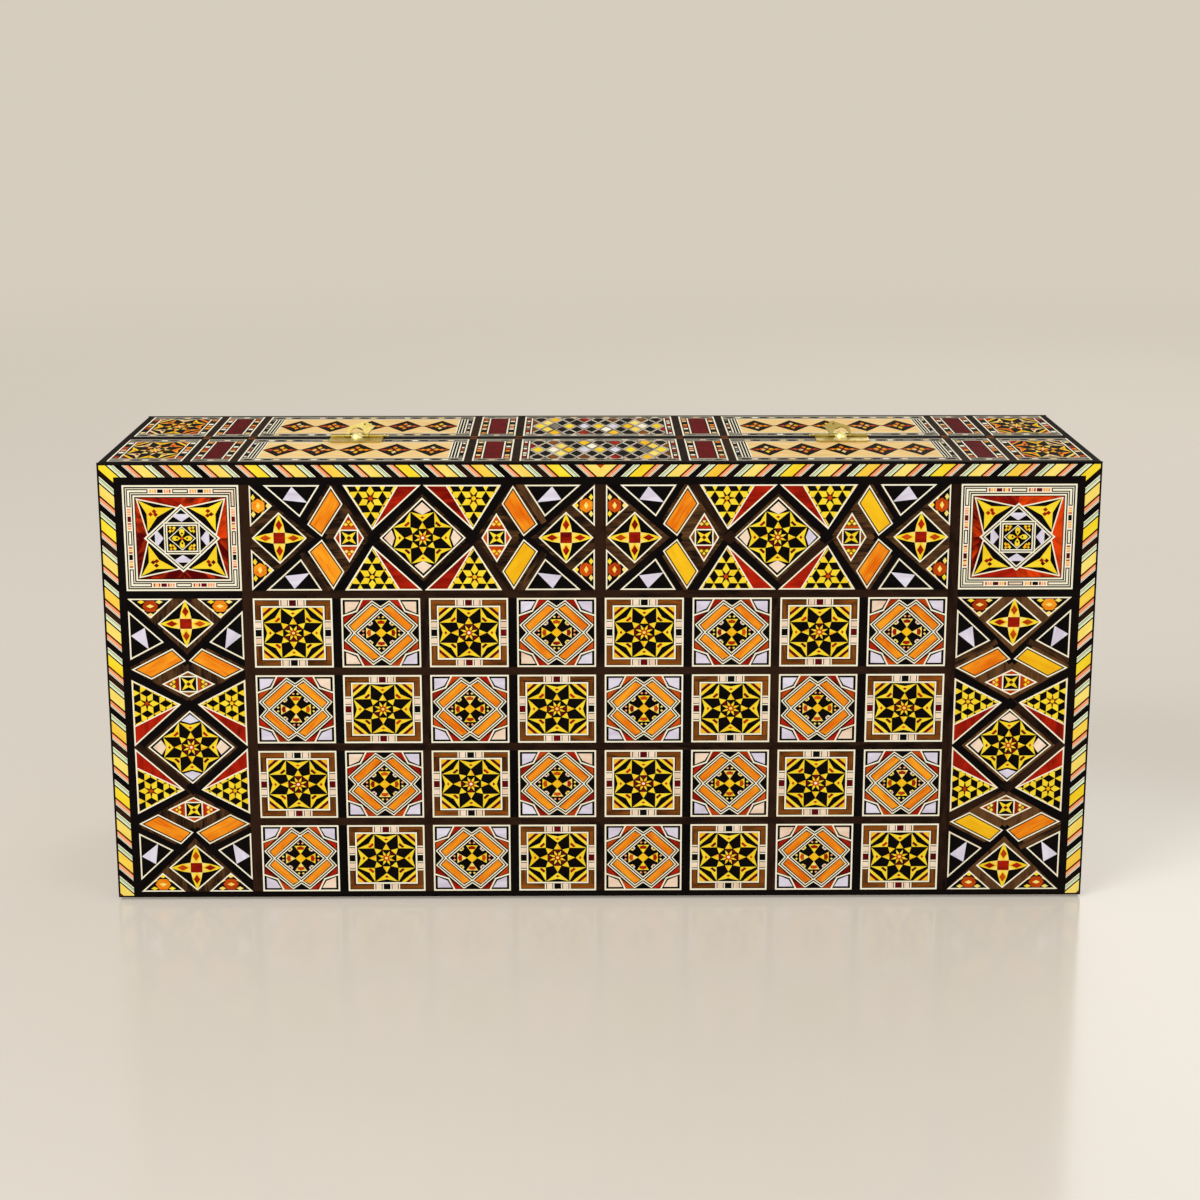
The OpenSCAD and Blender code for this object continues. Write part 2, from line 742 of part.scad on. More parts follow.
front_face_board();
front_top_wall();
front_bottom_wall();
front_left_wall();
front_right_wall();
front_face_ground();
front_star_squares();
front_square_stars();
front_diamond_squares();
front_square_diamonds();
front_corner_tiles();
front_band_panels();
front_side_panels();
front_panel_rhombi();
front_rope_stringing();
front_top_ground();
front_top_tiles();
front_end_grounds();
front_end_tiles();
front_floor_lining();
front_floor_points();
rear_face_board();
rear_top_wall();
rear_bottom_wall();
rear_left_wall();
rear_right_wall();
rear_face_ground();
rear_star_squares();
rear_square_stars();
rear_diamond_squares();
rear_square_diamonds();
rear_corner_tiles();
rear_band_panels();
rear_side_panels();
rear_panel_rhombi();
rear_rope_stringing();
rear_top_ground();
rear_top_tiles();
rear_end_grounds();
rear_end_tiles();
rear_floor_lining();
rear_floor_points();
front_hinge_leaves();
rear_hinge_leaves();
hinge_pins();
front_hinge_screws();
rear_hinge_screws();
left_hasp_leaf();
right_hasp_leaf();
left_hasp_pin();
right_hasp_pin();
left_hasp();
right_hasp();
left_keeper();
right_keeper();
hasp_leaf_screws();
keeper_screws();
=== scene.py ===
# %% [markdown]
# # A marquetry chess box in Blender
# The real box is two shallow trays, hinged along one long edge and dressed on the
# outside with marquetry: hundreds of small pieces of wood, bone and shell, cut to
# touch and glued down in one flat layer. The solids and the joints come from the
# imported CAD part. This lesson adds what the solids leave plain: the drawing of the
# marquetry, the woods, the brass and a photograph's light and camera.

# %% Loading the frame
import math
import random

import bmesh
import bpy
from mathutils import Matrix, Vector
from mathutils.geometry import delaunay_2d_cdt


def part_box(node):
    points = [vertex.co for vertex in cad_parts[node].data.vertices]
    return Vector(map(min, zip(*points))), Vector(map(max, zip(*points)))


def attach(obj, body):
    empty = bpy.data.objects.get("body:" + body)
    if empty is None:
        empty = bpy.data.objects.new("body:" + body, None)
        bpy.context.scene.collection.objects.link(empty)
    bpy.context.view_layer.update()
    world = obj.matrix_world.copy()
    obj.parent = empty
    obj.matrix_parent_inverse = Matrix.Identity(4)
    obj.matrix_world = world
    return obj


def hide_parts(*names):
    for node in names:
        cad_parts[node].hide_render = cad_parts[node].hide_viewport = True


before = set(bpy.data.objects)
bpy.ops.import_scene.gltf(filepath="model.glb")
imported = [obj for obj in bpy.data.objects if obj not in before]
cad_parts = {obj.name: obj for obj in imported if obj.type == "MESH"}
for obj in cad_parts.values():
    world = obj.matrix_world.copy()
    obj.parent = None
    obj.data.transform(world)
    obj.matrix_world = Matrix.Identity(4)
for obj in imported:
    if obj.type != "MESH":
        bpy.data.objects.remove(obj)
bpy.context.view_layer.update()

# %% [markdown]
# The part's own sizes come next, in millimetres, because a maker of marquetry works
# in them. They repeat the values of the CAD source, so that every piece of veneer
# lands on the solid that it stands for.

# %% Sizes of the box, in millimetres
MM = 0.001
SQUARE_W, SQUARE_H, BAR_W, BAR_H = 39.8, 36.0, 4.45, 4.1
COLUMNS, ROWS = 8, 4
PANEL_W, BAND_H, PANEL_GAP, BAND_GAP, MID_BAR, FOOT = 57.8, 54.0, 5.2, 4.0, 5.6, 3.4
ROPE_W, ROPE_H, ROPE_GAP, EDGE_W = 7.0, 6.0, 4.0, 1.2
HALF_D, VENEER, SEAM, WOOD_Z = 73.0, 1.2, 0.2, 1.45
WALL_T, BOARD_T, LINING = 10.0, 6.0, 1.5
FIELD_W = COLUMNS * SQUARE_W + (COLUMNS - 1) * BAR_W
FIELD_H = ROWS * SQUARE_H + (ROWS - 1) * BAR_H
BOX_W = FIELD_W + 2 * (PANEL_GAP + PANEL_W + ROPE_GAP + ROPE_W + EDGE_W)
BOX_H = FOOT + FIELD_H + BAND_GAP + BAND_H + ROPE_GAP + ROPE_H + EDGE_W
TOP_Z = WOOD_Z + BOX_H
CORE_X = BOX_W / 2 - VENEER
BAND_W = (FIELD_W - MID_BAR) / 2
PANEL_X = FIELD_W / 2 + PANEL_GAP + PANEL_W / 2
BAND_Z = FOOT + FIELD_H + BAND_GAP + BAND_H / 2
STAR_TILE, PLAIN_TILE, LATTICE_TILE = 37.4, 19.6, 80.6
TILE_BAR, TILE_MARGIN, TILE_SIDE = 4.1, 4.3, 4.6
TILE_DEPTH = HALF_D - 2 * TILE_SIDE - SEAM
print(f"box {BOX_W:.2f} x {2 * HALF_D:.0f} x {TOP_Z:.2f} mm")

# %% [markdown]
# ## Drawing marquetry
# A marquetry maker draws a cartoon, cuts every piece along its lines and fits the
# pieces edge to edge. It could be painted as a picture, but a picture turns soft
# when the camera comes close. Here each motif is drawn as polygons laid over each
# other, which is easy to write, and then flattened: a constrained triangulation
# cuts them where they cross, and each small face keeps the wood on top. The result
# is one layer of touching pieces, as on the real box.

# %% Helpers for outlines
SAME_POINT, LEAST_AREA, SHARPEST = 1e-4, 0.003, 0.12


def legs(ring):
    """The legs of a closed outline, as pairs of points."""
    return zip(ring, ring[1:] + ring[:1])


def area(ring):
    """Area of an outline, negative where it runs clockwise."""
    return sum(a[0] * b[1] - b[0] * a[1] for a, b in legs(ring)) / 2


def turned_ccw(ring):
    """The outline, running anticlockwise."""
    return ring if area(ring) > 0 else ring[::-1]


def flipped(ring, across, up=1):
    """The outline mirrored where a sign is -1."""
    return turned_ccw([(across * x, up * y) for x, y in ring])


def upended(ring):
    """The outline with x and y swapped."""
    return turned_ccw([(y, x) for x, y in ring])


def inset(ring, depth):
    """The outline moved inwards by a depth, with its corners kept sharp."""
    if not depth:
        return ring
    corners = []
    for before, here, after in zip(ring[-1:] + ring[:-1], ring, ring[1:] + ring[:1]):
        u = (Vector(here) - Vector(before)).normalized()
        v = (Vector(after) - Vector(here)).normalized()
        lean = Vector((-u.y - v.y, u.x + v.x)) / max(1 + u.dot(v), SHARPEST)
        corners.append((here[0] + lean.x * depth, here[1] + lean.y * depth))
    return corners


def clipped(ring, window):
    """The part of an outline inside a convex, anticlockwise window."""
    for a, b in legs(window):
        def side(p):
            return (b[0] - a[0]) * (p[1] - a[1]) - (b[1] - a[1]) * (p[0] - a[0])
        kept = []
        for p, q in legs(ring):
            sp, sq = side(p), side(q)
            if sp >= 0:
                kept.append(p)
            if (sp > 0 > sq) or (sp < 0 < sq):
                t = sp / (sp - sq)
                kept.append((p[0] + t * (q[0] - p[0]), p[1] + t * (q[1] - p[1])))
        ring = [p for i, p in enumerate(kept) if math.dist(p, kept[i - 1]) > SAME_POINT]
        if len(ring) < 3 or abs(area(ring)) < LEAST_AREA:
            return []
    return ring


def block(w, h, x=0.0, y=0.0):
    """A rectangle of half width w and half height h, round (x, y)."""
    return [(x - w, y - h), (x + w, y - h), (x + w, y + h), (x - w, y + h)]


def rhombus(w, h, x=0.0, y=0.0):
    """A rhombus of half width w and half height h, round (x, y)."""
    return [(x + w, y), (x, y + h), (x - w, y), (x, y - h)]


def polar(angle, radius):
    """A point by its angle from straight up, in degrees, and its distance."""
    return radius * math.sin(math.radians(angle)), radius * math.cos(math.radians(angle))


def moved(ring, x, y):
    """The outline, moved sideways."""
    return [(x + a, y + b) for a, b in ring]


def lines(*depths):
    """Bone and ebony in turn, at growing depths inside an outline."""
    return [(depth, "ebony" if k % 2 else "bone") for k, depth in enumerate(depths)]


# %% The cartoon: layered outlines, each with its wood
ONCE = [(1, 0, 0, 1)]
SIDES = ONCE + [(-1, 0, 0, 1)]
ENDS = ONCE + [(1, 0, 0, -1)]
MIRRORS = SIDES + [(1, 0, 0, -1), (-1, 0, 0, -1)]
QUARTERS = ONCE + [(0, 1, -1, 0), (-1, 0, 0, -1), (0, -1, 1, 0)]
LAP = 0.3  # how far a strip runs past its end, as a share of half its width


class Cartoon:
    """A motif. Points are multiplied by the two sizes, and frames and lines are in mm."""

    def __init__(self, size_x=1.0, size_y=1.0):
        self.sizes = size_x, size_y
        self.pieces = []

    def in_mm(self, points, image):
        a, b, c, d = image
        return [((a * x + b * y) * self.sizes[0], (c * x + d * y) * self.sizes[1])
                for x, y in points]

    def outline(self, ring, image=ONCE[0]):
        return turned_ccw(self.in_mm(ring, image))

    def lay(self, wood, ring, images=ONCE):
        """Lays one piece, and its mirror images or turns."""
        for image in images:
            self.pieces.append((wood, self.outline(ring, image)))

    def framed(self, ring, steps, images=ONCE):
        """Lays nested pieces: each step is a depth inside the outline and a wood."""
        for image in images:
            outline = self.outline(ring, image)
            for depth, wood in steps:
                self.pieces.append((wood, inset(outline, depth)))

    def line(self, wood, width, points, images=ONCE):
        """Lays a strip of one width along each leg of a path."""
        for image in images:
            path = [Vector(point) for point in self.in_mm(points, image)]
            for p, q in zip(path, path[1:]):
                along = (q - p).normalized() * width / 2
                across = Vector((-along.y, along.x))
                p, q = p - along * LAP, q + along * LAP
                corners = (p - across, q - across, q + across, p + across)
                self.pieces.append((wood, [tuple(corner) for corner in corners]))

    def run(self, pattern, start, across, depth, turned=False):
        """Lays blocks one after the other: [(wood, length), ...]."""
        for wood, length in pattern:
            ring = block(length / 2, depth / 2, start + length / 2, across)
            self.pieces.append((wood, upended(ring) if turned else ring))
            start += length

    def add(self, other, x=0.0, y=0.0, window=None, quarter=False):
        """Lays another cartoon on this one, cut to a convex window if there is one."""
        for wood, ring in other.pieces:
            if quarter:
                ring = [(-q, p) for p, q in ring]
            ring = [(p + x, q + y) for p, q in ring]
            if window:
                ring = clipped(ring, window)
            if len(ring) > 2:
                self.pieces.append((wood, ring))

    def add_mirrored(self, other):
        """Lays another cartoon four times, mirrored both ways."""
        for across, _, _, up in MIRRORS:
            self.pieces += [(wood, flipped(ring, across, up)) for wood, ring in other.pieces]


# %% Flattening a cartoon into touching faces
class Layer:
    """A flattened motif: points, and faces that know which piece they belong to."""

    def __init__(self, cartoon, cut_along=()):
        pieces = [(None, turned_ccw(list(ring))) for ring in cut_along] + cartoon.pieces
        points, rings = [], []
        for _, ring in pieces:
            rings.append(list(range(len(points), len(points) + len(ring))))
            points += [Vector(p) for p in ring]
        flat = delaunay_2d_cdt(points, [], rings, 3, SAME_POINT, True)
        self.points = [tuple(p) for p in flat[0]]
        self.pieces = pieces
        self.faces = [(face, max(owners)) for face, owners in zip(flat[2], flat[5])
                      if owners and pieces[max(owners)][0]]

    def kept(self, test):
        """The same layer, with only the faces whose middle passes a test."""
        part = Layer.__new__(Layer)
        part.points, part.pieces, part.faces = self.points, self.pieces, []
        for face, owner in self.faces:
            x = sum(self.points[i][0] for i in face) / len(face)
            y = sum(self.points[i][1] for i in face) / len(face)
            if test(x, y):
                part.faces.append((face, owner))
        return part


def inside(*rings):
    """A test for points inside any of some outlines."""
    def within(ring, x, y):
        hits = 0
        for (ax, ay), (bx, by) in legs(ring):
            if (ay > y) != (by > y) and x < ax + (y - ay) * (bx - ax) / (by - ay):
                hits += 1
        return hits % 2 == 1
    return lambda x, y: any(within(ring, x, y) for ring in rings)


def outside(*rings):
    """A test for points outside all of some outlines."""
    test = inside(*rings)
    return lambda x, y: not test(x, y)


# %% [markdown]
# ## Woods
# Every veneer gets one material. All of them share one recipe, because all of them
# are thin slices under the same lacquer: long fibres, a slow cloud of lighter and
# darker wood, and a tone of its own for each piece. The grain follows a UV map named
# grain, in millimetres, whose long axis is turned along each piece when it is laid.

# %% A small class that lets node sums read as sums
class Wire:
    """An output socket. Python's operators on it add Math nodes."""

    def __init__(self, graph, socket):
        self.graph, self.socket = graph, socket

    def _maths(self, operation, a, b):
        return self.graph.node("ShaderNodeMath", {"operation": operation}, {0: a, 1: b})

    def __add__(self, other):
        return self._maths("ADD", self, other)

    def __radd__(self, other):
        return self._maths("ADD", other, self)

    def __sub__(self, other):
        return self._maths("SUBTRACT", self, other)

    def __rsub__(self, other):
        return self._maths("SUBTRACT", other, self)

    def __mul__(self, other):
        return self._maths("MULTIPLY", self, other)

    def __rmul__(self, other):
        return self._maths("MULTIPLY", other, self)

    def __abs__(self):
        return self.graph.node("ShaderNodeMath", {"operation": "ABSOLUTE"}, {0: self})


class Graph:
    """A node tree with one method for all its nodes."""

    def __init__(self, tree):
        self.tree = tree

    def feed(self, socket, value):
        """Links a wire to an input, or sets the input to a plain value."""
        if isinstance(value, Wire):
            self.tree.links.new(value.socket, socket)
        else:
            socket.default_value = value

    def node(self, kind, settings=None, sockets=None, out=0):
        """Adds a node with its settings and inputs, and returns one of its outputs."""
        made = self.tree.nodes.new(kind)
        for key, value in (settings or {}).items():
            setattr(made, key, value)
        for key, value in (sockets or {}).items():
            self.feed(made.inputs[key], value)
        return Wire(self, made.outputs[out]) if made.outputs else None


# %% Steps that most finishes share
def linear(red, green, blue):
    """A colour as a screen shows it, 0 to 255, in the linear numbers that shaders use."""
    parts = [c / 255 for c in (red, green, blue)]
    return tuple(c / 12.92 if c <= 0.04045 else ((c + 0.055) / 1.055) ** 2.4
                 for c in parts) + (1,)


def new_finish(name):
    """A material, its graph and a function that joins wires to its shader."""
    material = bpy.data.materials.new(name)
    material.use_nodes = True
    shader = material.node_tree.nodes["Principled BSDF"]
    graph = Graph(material.node_tree)

    def join(**sockets):
        for key, value in sockets.items():
            graph.feed(shader.inputs[key.replace("_", " ")], value)
    return material, graph, join


def blend(graph, share, first, second):
    """Mixes two colours. Each is a wire or its red, green and blue, 0 to 255."""
    ends = [c if isinstance(c, Wire) else linear(*c) for c in (first, second)]
    return graph.node("ShaderNodeMix", {"data_type": "RGBA"},
                      {0: share, 6: ends[0], 7: ends[1]}, out=2)


def noise(graph, place, detail, scale=1.0, distortion=0.0):
    return graph.node("ShaderNodeTexNoise", None, {
        "Vector": place, "Scale": scale, "Detail": detail, "Distortion": distortion})


def stretched(graph, place, factors):
    return graph.node("ShaderNodeVectorMath", {"operation": "MULTIPLY"}, {0: place, 1: factors})


def bumps(graph, strength, depth, height):
    return graph.node("ShaderNodeBump", None, {
        "Strength": strength, "Distance": depth * MM, "Height": height})


# %% The recipe for a veneer
def veneer(name, light, dark, figure=0.5, fibres=0.35, tone_share=0.22, gloss=0.24):
    """Lacquered veneer between two colours. figure is its cloud, fibres its streaks."""
    material, graph, join = new_finish(name)
    place = graph.node("ShaderNodeUVMap", {"uv_map": "grain"})
    fibre = noise(graph, stretched(graph, place, (0.09, 1.5, 1)), 3.0)
    cloud = noise(graph, stretched(graph, place, (0.07, 0.22, 1)), 2.0, distortion=0.6)
    tone = graph.node("ShaderNodeAttribute", {"attribute_name": "tone"}, out="Fac")
    shade = 0.42 + (fibre - 0.5) * (2 * fibres) + (cloud - 0.5) * (2.4 * figure) + tone * tone_share
    join(Base_Color=blend(graph, shade, light, dark), Roughness=gloss + fibre * 0.12,
         Normal=bumps(graph, 0.12, 0.1, fibre), Specular_IOR_Level=0.0,
         Coat_Weight=0.07, Coat_Roughness=0.12)
    return material


WOODS = {
    "ebony": veneer("ebony", (6, 4, 5), (17, 12, 10), figure=0.6),
    "smoked": veneer("smoked walnut", (48, 29, 18), (8, 5, 5), 0.9, 0.5, tone_share=0.5),
    "walnut": veneer("walnut", (102, 68, 38), (28, 17, 11), 0.9, 0.8, tone_share=0.5),
    "lemon": veneer("lemonwood", (255, 230, 58), (240, 196, 24)),
    "gold": veneer("golden satinwood", (255, 208, 36), (238, 166, 14)),
    "straw": veneer("pale satinwood", (255, 234, 128), (244, 208, 78)),
    "honey": veneer("honey satinwood", (255, 222, 92), (246, 190, 46)),
    "orange": veneer("orange padauk", (255, 166, 36), (226, 100, 6), 0.7, 0.7),
    "amber": veneer("amber walnut", (142, 78, 22), (62, 32, 12), 0.8, 0.7),
    "rust": veneer("rust cherry", (214, 84, 14), (150, 36, 6), 0.7),
    "red": veneer("red bloodwood", (188, 36, 10), (104, 8, 4), 0.8, 0.5),
    "flame": veneer("flame mahogany", (228, 66, 8), (84, 2, 2), 1.4, 0.4, tone_share=0.6),
    "maroon": veneer("maroon lacquer", (112, 12, 16), (66, 4, 10), 0.5, 0.2),
    "bone": veneer("bone", (255, 250, 226), (240, 230, 196), 0.3, 0.15),
    "pearl": veneer("mother of pearl", (232, 228, 242), (206, 196, 214), 0.9, 0.1, gloss=0.16),
    "blush": veneer("pink shell", (252, 230, 206), (228, 194, 164), 0.8, 0.2, gloss=0.18),
    "cream": veneer("cream maple", (250, 220, 156), (230, 186, 116), 0.6),
    "salmon": veneer("salmon cedar", (255, 176, 124), (236, 134, 86)),
    "green": veneer("green dyed maple", (214, 238, 190), (168, 204, 142)),
    "taupe": veneer("grey sycamore", (148, 141, 126), (92, 87, 78), 0.7),
}
WOOD_NAMES = list(WOODS)
print("veneers:", len(WOODS))

# %% [markdown]
# ## Laying veneer
# A flattened motif becomes a thin closed plate: its faces on the outside, a copy of
# them on the glue side, and walls along every open edge. Each copy of a motif draws
# its own tones and its own place in the log, so that no two squares are alike.

# %% Where a drawing lies on the box
LOG = 900  # side of the log that every piece of veneer is cut from, in mm
chance = random.Random(64)


def on_face(x, z, depth):
    return x, depth - HALF_D, WOOD_Z + z


def on_top(x, y, depth):
    return x, y - HALF_D, TOP_Z - depth


def on_left_end(z, y, depth):
    return depth - BOX_W / 2, y - HALF_D, WOOD_Z + z


def on_right_end(z, y, depth):
    return BOX_W / 2 - depth, y - HALF_D, WOOD_Z + z


def in_scene(name, data):
    """A new object in the scene."""
    thing = bpy.data.objects.new(name, data)
    bpy.context.scene.collection.objects.link(thing)
    return thing


def outward(mesh):
    """Drops the points that no face uses and turns all faces outwards."""
    shape = bmesh.new()
    shape.from_mesh(mesh)
    bmesh.ops.delete(shape, geom=[v for v in shape.verts if not v.link_faces], context="VERTS")
    bmesh.ops.recalc_face_normals(shape, faces=shape.faces)
    shape.to_mesh(mesh)
    shape.free()
    return mesh


# %% From layers to one plate
def sawn(wood, ring):
    """A wood, a tone, the turn of the grain along the longest leg, and a place in the log."""
    a, b = max(legs(ring), key=lambda e: (e[1][0] - e[0][0]) ** 2 + (e[1][1] - e[0][1]) ** 2)
    angle = math.atan2(b[1] - a[1], b[0] - a[0])
    return (WOOD_NAMES.index(chance.choice(wood.split("|"))), chance.uniform(-1, 1),
            math.cos(angle), math.sin(angle), chance.uniform(0, LOG), chance.uniform(0, LOG))


def laid(name, spots, place):
    """One mesh of closed plates. spots are (layer, x, y), place maps (x, y, depth) to mm."""
    points, faces, woods, tones, grain = [], [], [], [], []
    for layer, dx, dy in spots:
        cut = {k: sawn(*piece) for k, piece in enumerate(layer.pieces) if piece[0]}
        start, count = len(points), len(layer.points)
        for depth in (0.0, VENEER):
            points += [Vector(place(x + dx, y + dy, depth)) * MM for x, y in layer.points]
        edges = {}
        for face, owner in layer.faces:
            wood, tone, c, s, ou, ov = cut[owner]
            flat = [(ou + c * layer.points[i][0] + s * layer.points[i][1],
                     ov - s * layer.points[i][0] + c * layer.points[i][1]) for i in face]
            for shift, ring, uv in ((0, face, flat), (count, face[::-1], flat[::-1])):
                faces.append([start + shift + i for i in ring])
                woods.append(wood)
                tones.append(tone)
                grain += uv
            for i, j in legs(face):
                edges[i, j] = (owner, flat[0])
        for (i, j), (owner, uv) in edges.items():
            if (j, i) not in edges:
                faces.append([start + j, start + i, start + count + i, start + count + j])
                woods.append(cut[owner][0])
                tones.append(cut[owner][1])
                grain += [uv, uv, (uv[0], uv[1] + VENEER), (uv[0], uv[1] + VENEER)]
    used = sorted(set(woods))
    mesh = bpy.data.meshes.new(name)
    mesh.from_pydata(points, [], faces)
    for wood in used:
        mesh.materials.append(WOODS[WOOD_NAMES[wood]])
    mesh.polygons.foreach_set("material_index", [used.index(wood) for wood in woods])
    mesh.attributes.new("tone", "FLOAT", "FACE").data.foreach_set("value", tones)
    mesh.uv_layers.new(name="grain").data.foreach_set("uv", [c for uv in grain for c in uv])
    return in_scene(name, outward(mesh))


# %% A piece for the front half and its twin for the rear half
def both_halves(name, node, piece):
    """Names a front piece, and turns a copy of it round for the rear half."""
    rear_mesh = piece.data.copy()
    rear_mesh.transform(Matrix.Rotation(math.pi, 4, "Z"))
    rear = in_scene("rear_" + name, rear_mesh)
    piece.name = "front_" + name
    for half, copy in (("front", piece), ("rear", rear)):
        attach(copy, half + "_half")
        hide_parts(f"{half}_{node}")
    print(f"{name}: {len(piece.data.polygons)} faces on each half")


def veneered(name, node, slot, spots, place=on_face):
    """Lays veneer over one node of each half."""
    both_halves(name, node, laid(name, spots, place))


def joined(name, pieces):
    """Several pieces of one kind as one."""
    with bpy.context.temp_override(active_object=pieces[0], selected_editable_objects=pieces):
        bpy.ops.object.join()
    pieces[0].name = name
    return pieces[0]


# %% [markdown]
# ## The star squares
# Half of the squares carry an eight-pointed star: black kites between yellow
# arrowheads, with a small flower in the middle. The star is drawn in shares of its
# field, so that the same drawing also serves the large rosettes of the panels and,
# stretched, the tiles on the top.

# %% The eight-pointed star
def star_field(w, h, corners=True, bright="lemon", warm="gold", heart="rust"):
    drawing = Cartoon(w, h)
    if corners:
        drawing.lay("ebony", block(1, 1))
        drawing.lay(bright, [(0.50, 1), (1, 1), (1, 0.50)], MIRRORS)
        drawing.lay("maroon", [(0.64, 1), (0.78, 1), (1, 0.78), (1, 0.64)], MIRRORS)
        drawing.lay(warm, [(0.78, 1), (1, 1), (1, 0.78)], MIRRORS)
    drawing.lay(bright, [(-0.39, 0.98), (0, 0.62), (0.39, 0.98), (0, 0.88)], QUARTERS)
    drawing.lay("rust|red", rhombus(0.075, 0.05, 0, 0.775), QUARTERS)
    drawing.lay(bright, [(0.40, 0.99), (0.41, 0.41), (0.99, 0.40), (0.60, 0.60)], QUARTERS)
    drawing.lay("red|maroon", [(0.42, 0.55), (0.47, 0.63), (0.63, 0.47), (0.55, 0.42)], QUARTERS)
    for k in range(8):
        turn, odd = 45 * k, k % 2
        tip, root = polar(turn, 0.57 if odd else 0.60), polar(turn, 0.26)
        left, right = polar(turn - 20, 0.37), polar(turn + 20, 0.37)
        drawing.lay(bright, [left, root, tip])
        drawing.lay(bright if odd else warm, [tip, root, right])
        drawing.lay("maroon|ebony", [left, right, polar(turn, 0.20)])
        drawing.lay(bright, [polar(turn + 22.5, 0.31), polar(turn + 37, 0.17),
                             polar(turn + 22.5, 0.08), polar(turn + 8, 0.17)])
    drawing.lay(heart, [polar(22.5 * k, 0.10 if k % 2 else 0.17) for k in range(16)])
    drawing.lay("bone|straw", [polar(45 * k, 0.055) for k in range(8)])
    return drawing


# %% A star square with its frame and its bone and shell blocks
FRAME_MIDDLE = 2.35  # from the edge of a star square to the middle of its frame


def square_border(w, h):
    """The inlaid blocks at the middle of the four sides of a star square."""
    drawing = Cartoon()
    arm = [("bone", 0.65), ("ebony", 0.45), ("blush", 2.85), ("ebony", 0.4), ("bone", 0.6)]
    blocks = arm + [("ebony|maroon", 3.5)] + arm[::-1]
    total = sum(length for _, length in blocks)
    for side in (-1, 1):
        drawing.run(blocks, -total / 2, side * (h - FRAME_MIDDLE), 2.9)
        drawing.run(blocks, -total / 2, side * (w - FRAME_MIDDLE), 2.9, turned=True)
    return drawing


def star_square():
    w, h = SQUARE_W / 2, SQUARE_H / 2
    drawing = Cartoon()
    drawing.framed(block(w, h), lines(0, 0.85))
    for sign in (-1, 1):
        drawing.lay("amber", block(w - 1.1, 1.15, 0, sign * (h - FRAME_MIDDLE)))
        drawing.lay("amber", block(1.15, h - 3.6, sign * (w - FRAME_MIDDLE), 0))
    drawing.framed(block(w - 3.7, h - 3.7), [(0, "ebony")] + lines(0.25, 1.05))
    drawing.add(square_border(w, h))
    drawing.add(star_field(w - 4.85, h - 4.85))
    return drawing


STAR_W, STAR_H = SQUARE_W / 2 - 4.4, SQUARE_H / 2 - 4.4
star_outline = [(x * STAR_W, y * STAR_H) for x, y in (
    polar(67.5 - 22.5 * k, 0.58 if k % 2 else 0.98) for k in range(16))]
star_layer = Layer(star_square(), [star_outline])
print("star square:", len(star_layer.pieces), "pieces of wood,", len(star_layer.faces), "faces")

# %% [markdown]
# ## The diamond squares
# The other squares carry a diamond between four bars of orange wood, with corners of
# mother of pearl. Fine double lines of bone run round both.

# %% A diamond square
DOUBLE_LINE = lines(0, 0.55, 1.15, 1.7)
DIAMOND_SHARE = 0.71


def diamond_square():
    drawing = Cartoon(SQUARE_W / 2, SQUARE_H / 2)
    drawing.framed(block(1, 1), lines(0, 0.8))
    drawing.lay("pearl|pearl|blush", [(-0.90, 0.90), (-0.90, 0.57), (-0.65, 0.69), (-0.54, 0.90)],
                MIRRORS)
    drawing.lay("red|rust", [(-0.45, 0.94), (-0.24, 0.94), (-0.57, 0.67)], MIRRORS)
    drawing.lay("red|rust", [(-0.66, 0.57), (-0.93, 0.27), (-0.93, 0.46)], MIRRORS)
    drawing.line("bone", 0.75, [(-0.46, 0.97), (-0.61, 0.63), (-0.97, 0.49)], MIRRORS)
    waist = [(0.22, 0.94), (0.94, 0.22), (0.77, 0), (0.94, -0.22), (0.22, -0.94), (0, -0.77)]
    drawing.framed(waist + [(-x, -y) for x, y in waist], DOUBLE_LINE)
    drawing.lay("orange", [(-0.225, 0.78), (-0.785, 0.205), (-0.675, 0.06), (-0.07, 0.69)],
                MIRRORS)
    drawing.framed(rhombus(DIAMOND_SHARE, DIAMOND_SHARE), DOUBLE_LINE)
    drawing.lay("gold", rhombus(0.14, 0.14))
    drawing.lay("straw|lemon", [(0, 0.13), (0.155, 0.38), (-0.155, 0.38)], QUARTERS)
    drawing.lay("rust|red", [(-0.075, 0.26), (0.075, 0.26), (0.10, 0.33), (0, 0.37), (-0.10, 0.33)],
                QUARTERS)
    for side in (-1, 1):
        drawing.lay("straw|salmon", rhombus(0.035, 0.035, side * 0.055, 0.455), QUARTERS)
        drawing.lay("straw|blush", rhombus(0.03, 0.05, side * 0.235, 0.285), QUARTERS)
    return drawing


diamond_outline = rhombus(DIAMOND_SHARE * SQUARE_W / 2, DIAMOND_SHARE * SQUARE_H / 2)
diamond_layer = Layer(diamond_square(), [diamond_outline])
print("diamond square:", len(diamond_layer.pieces), "pieces of wood,",
      len(diamond_layer.faces), "faces")


# %% Laying all the squares of one half
def squares(parity):
    """The middles of the squares of one kind."""
    return [(-FIELD_W / 2 + SQUARE_W / 2 + column * (SQUARE_W + BAR_W),
             FOOT + SQUARE_H / 2 + (ROWS - 1 - row) * (SQUARE_H + BAR_H))
            for row in range(ROWS) for column in range(COLUMNS) if (row + column) % 2 == parity]


def at(layer, places):
    return [(layer, x, z) for x, z in places]


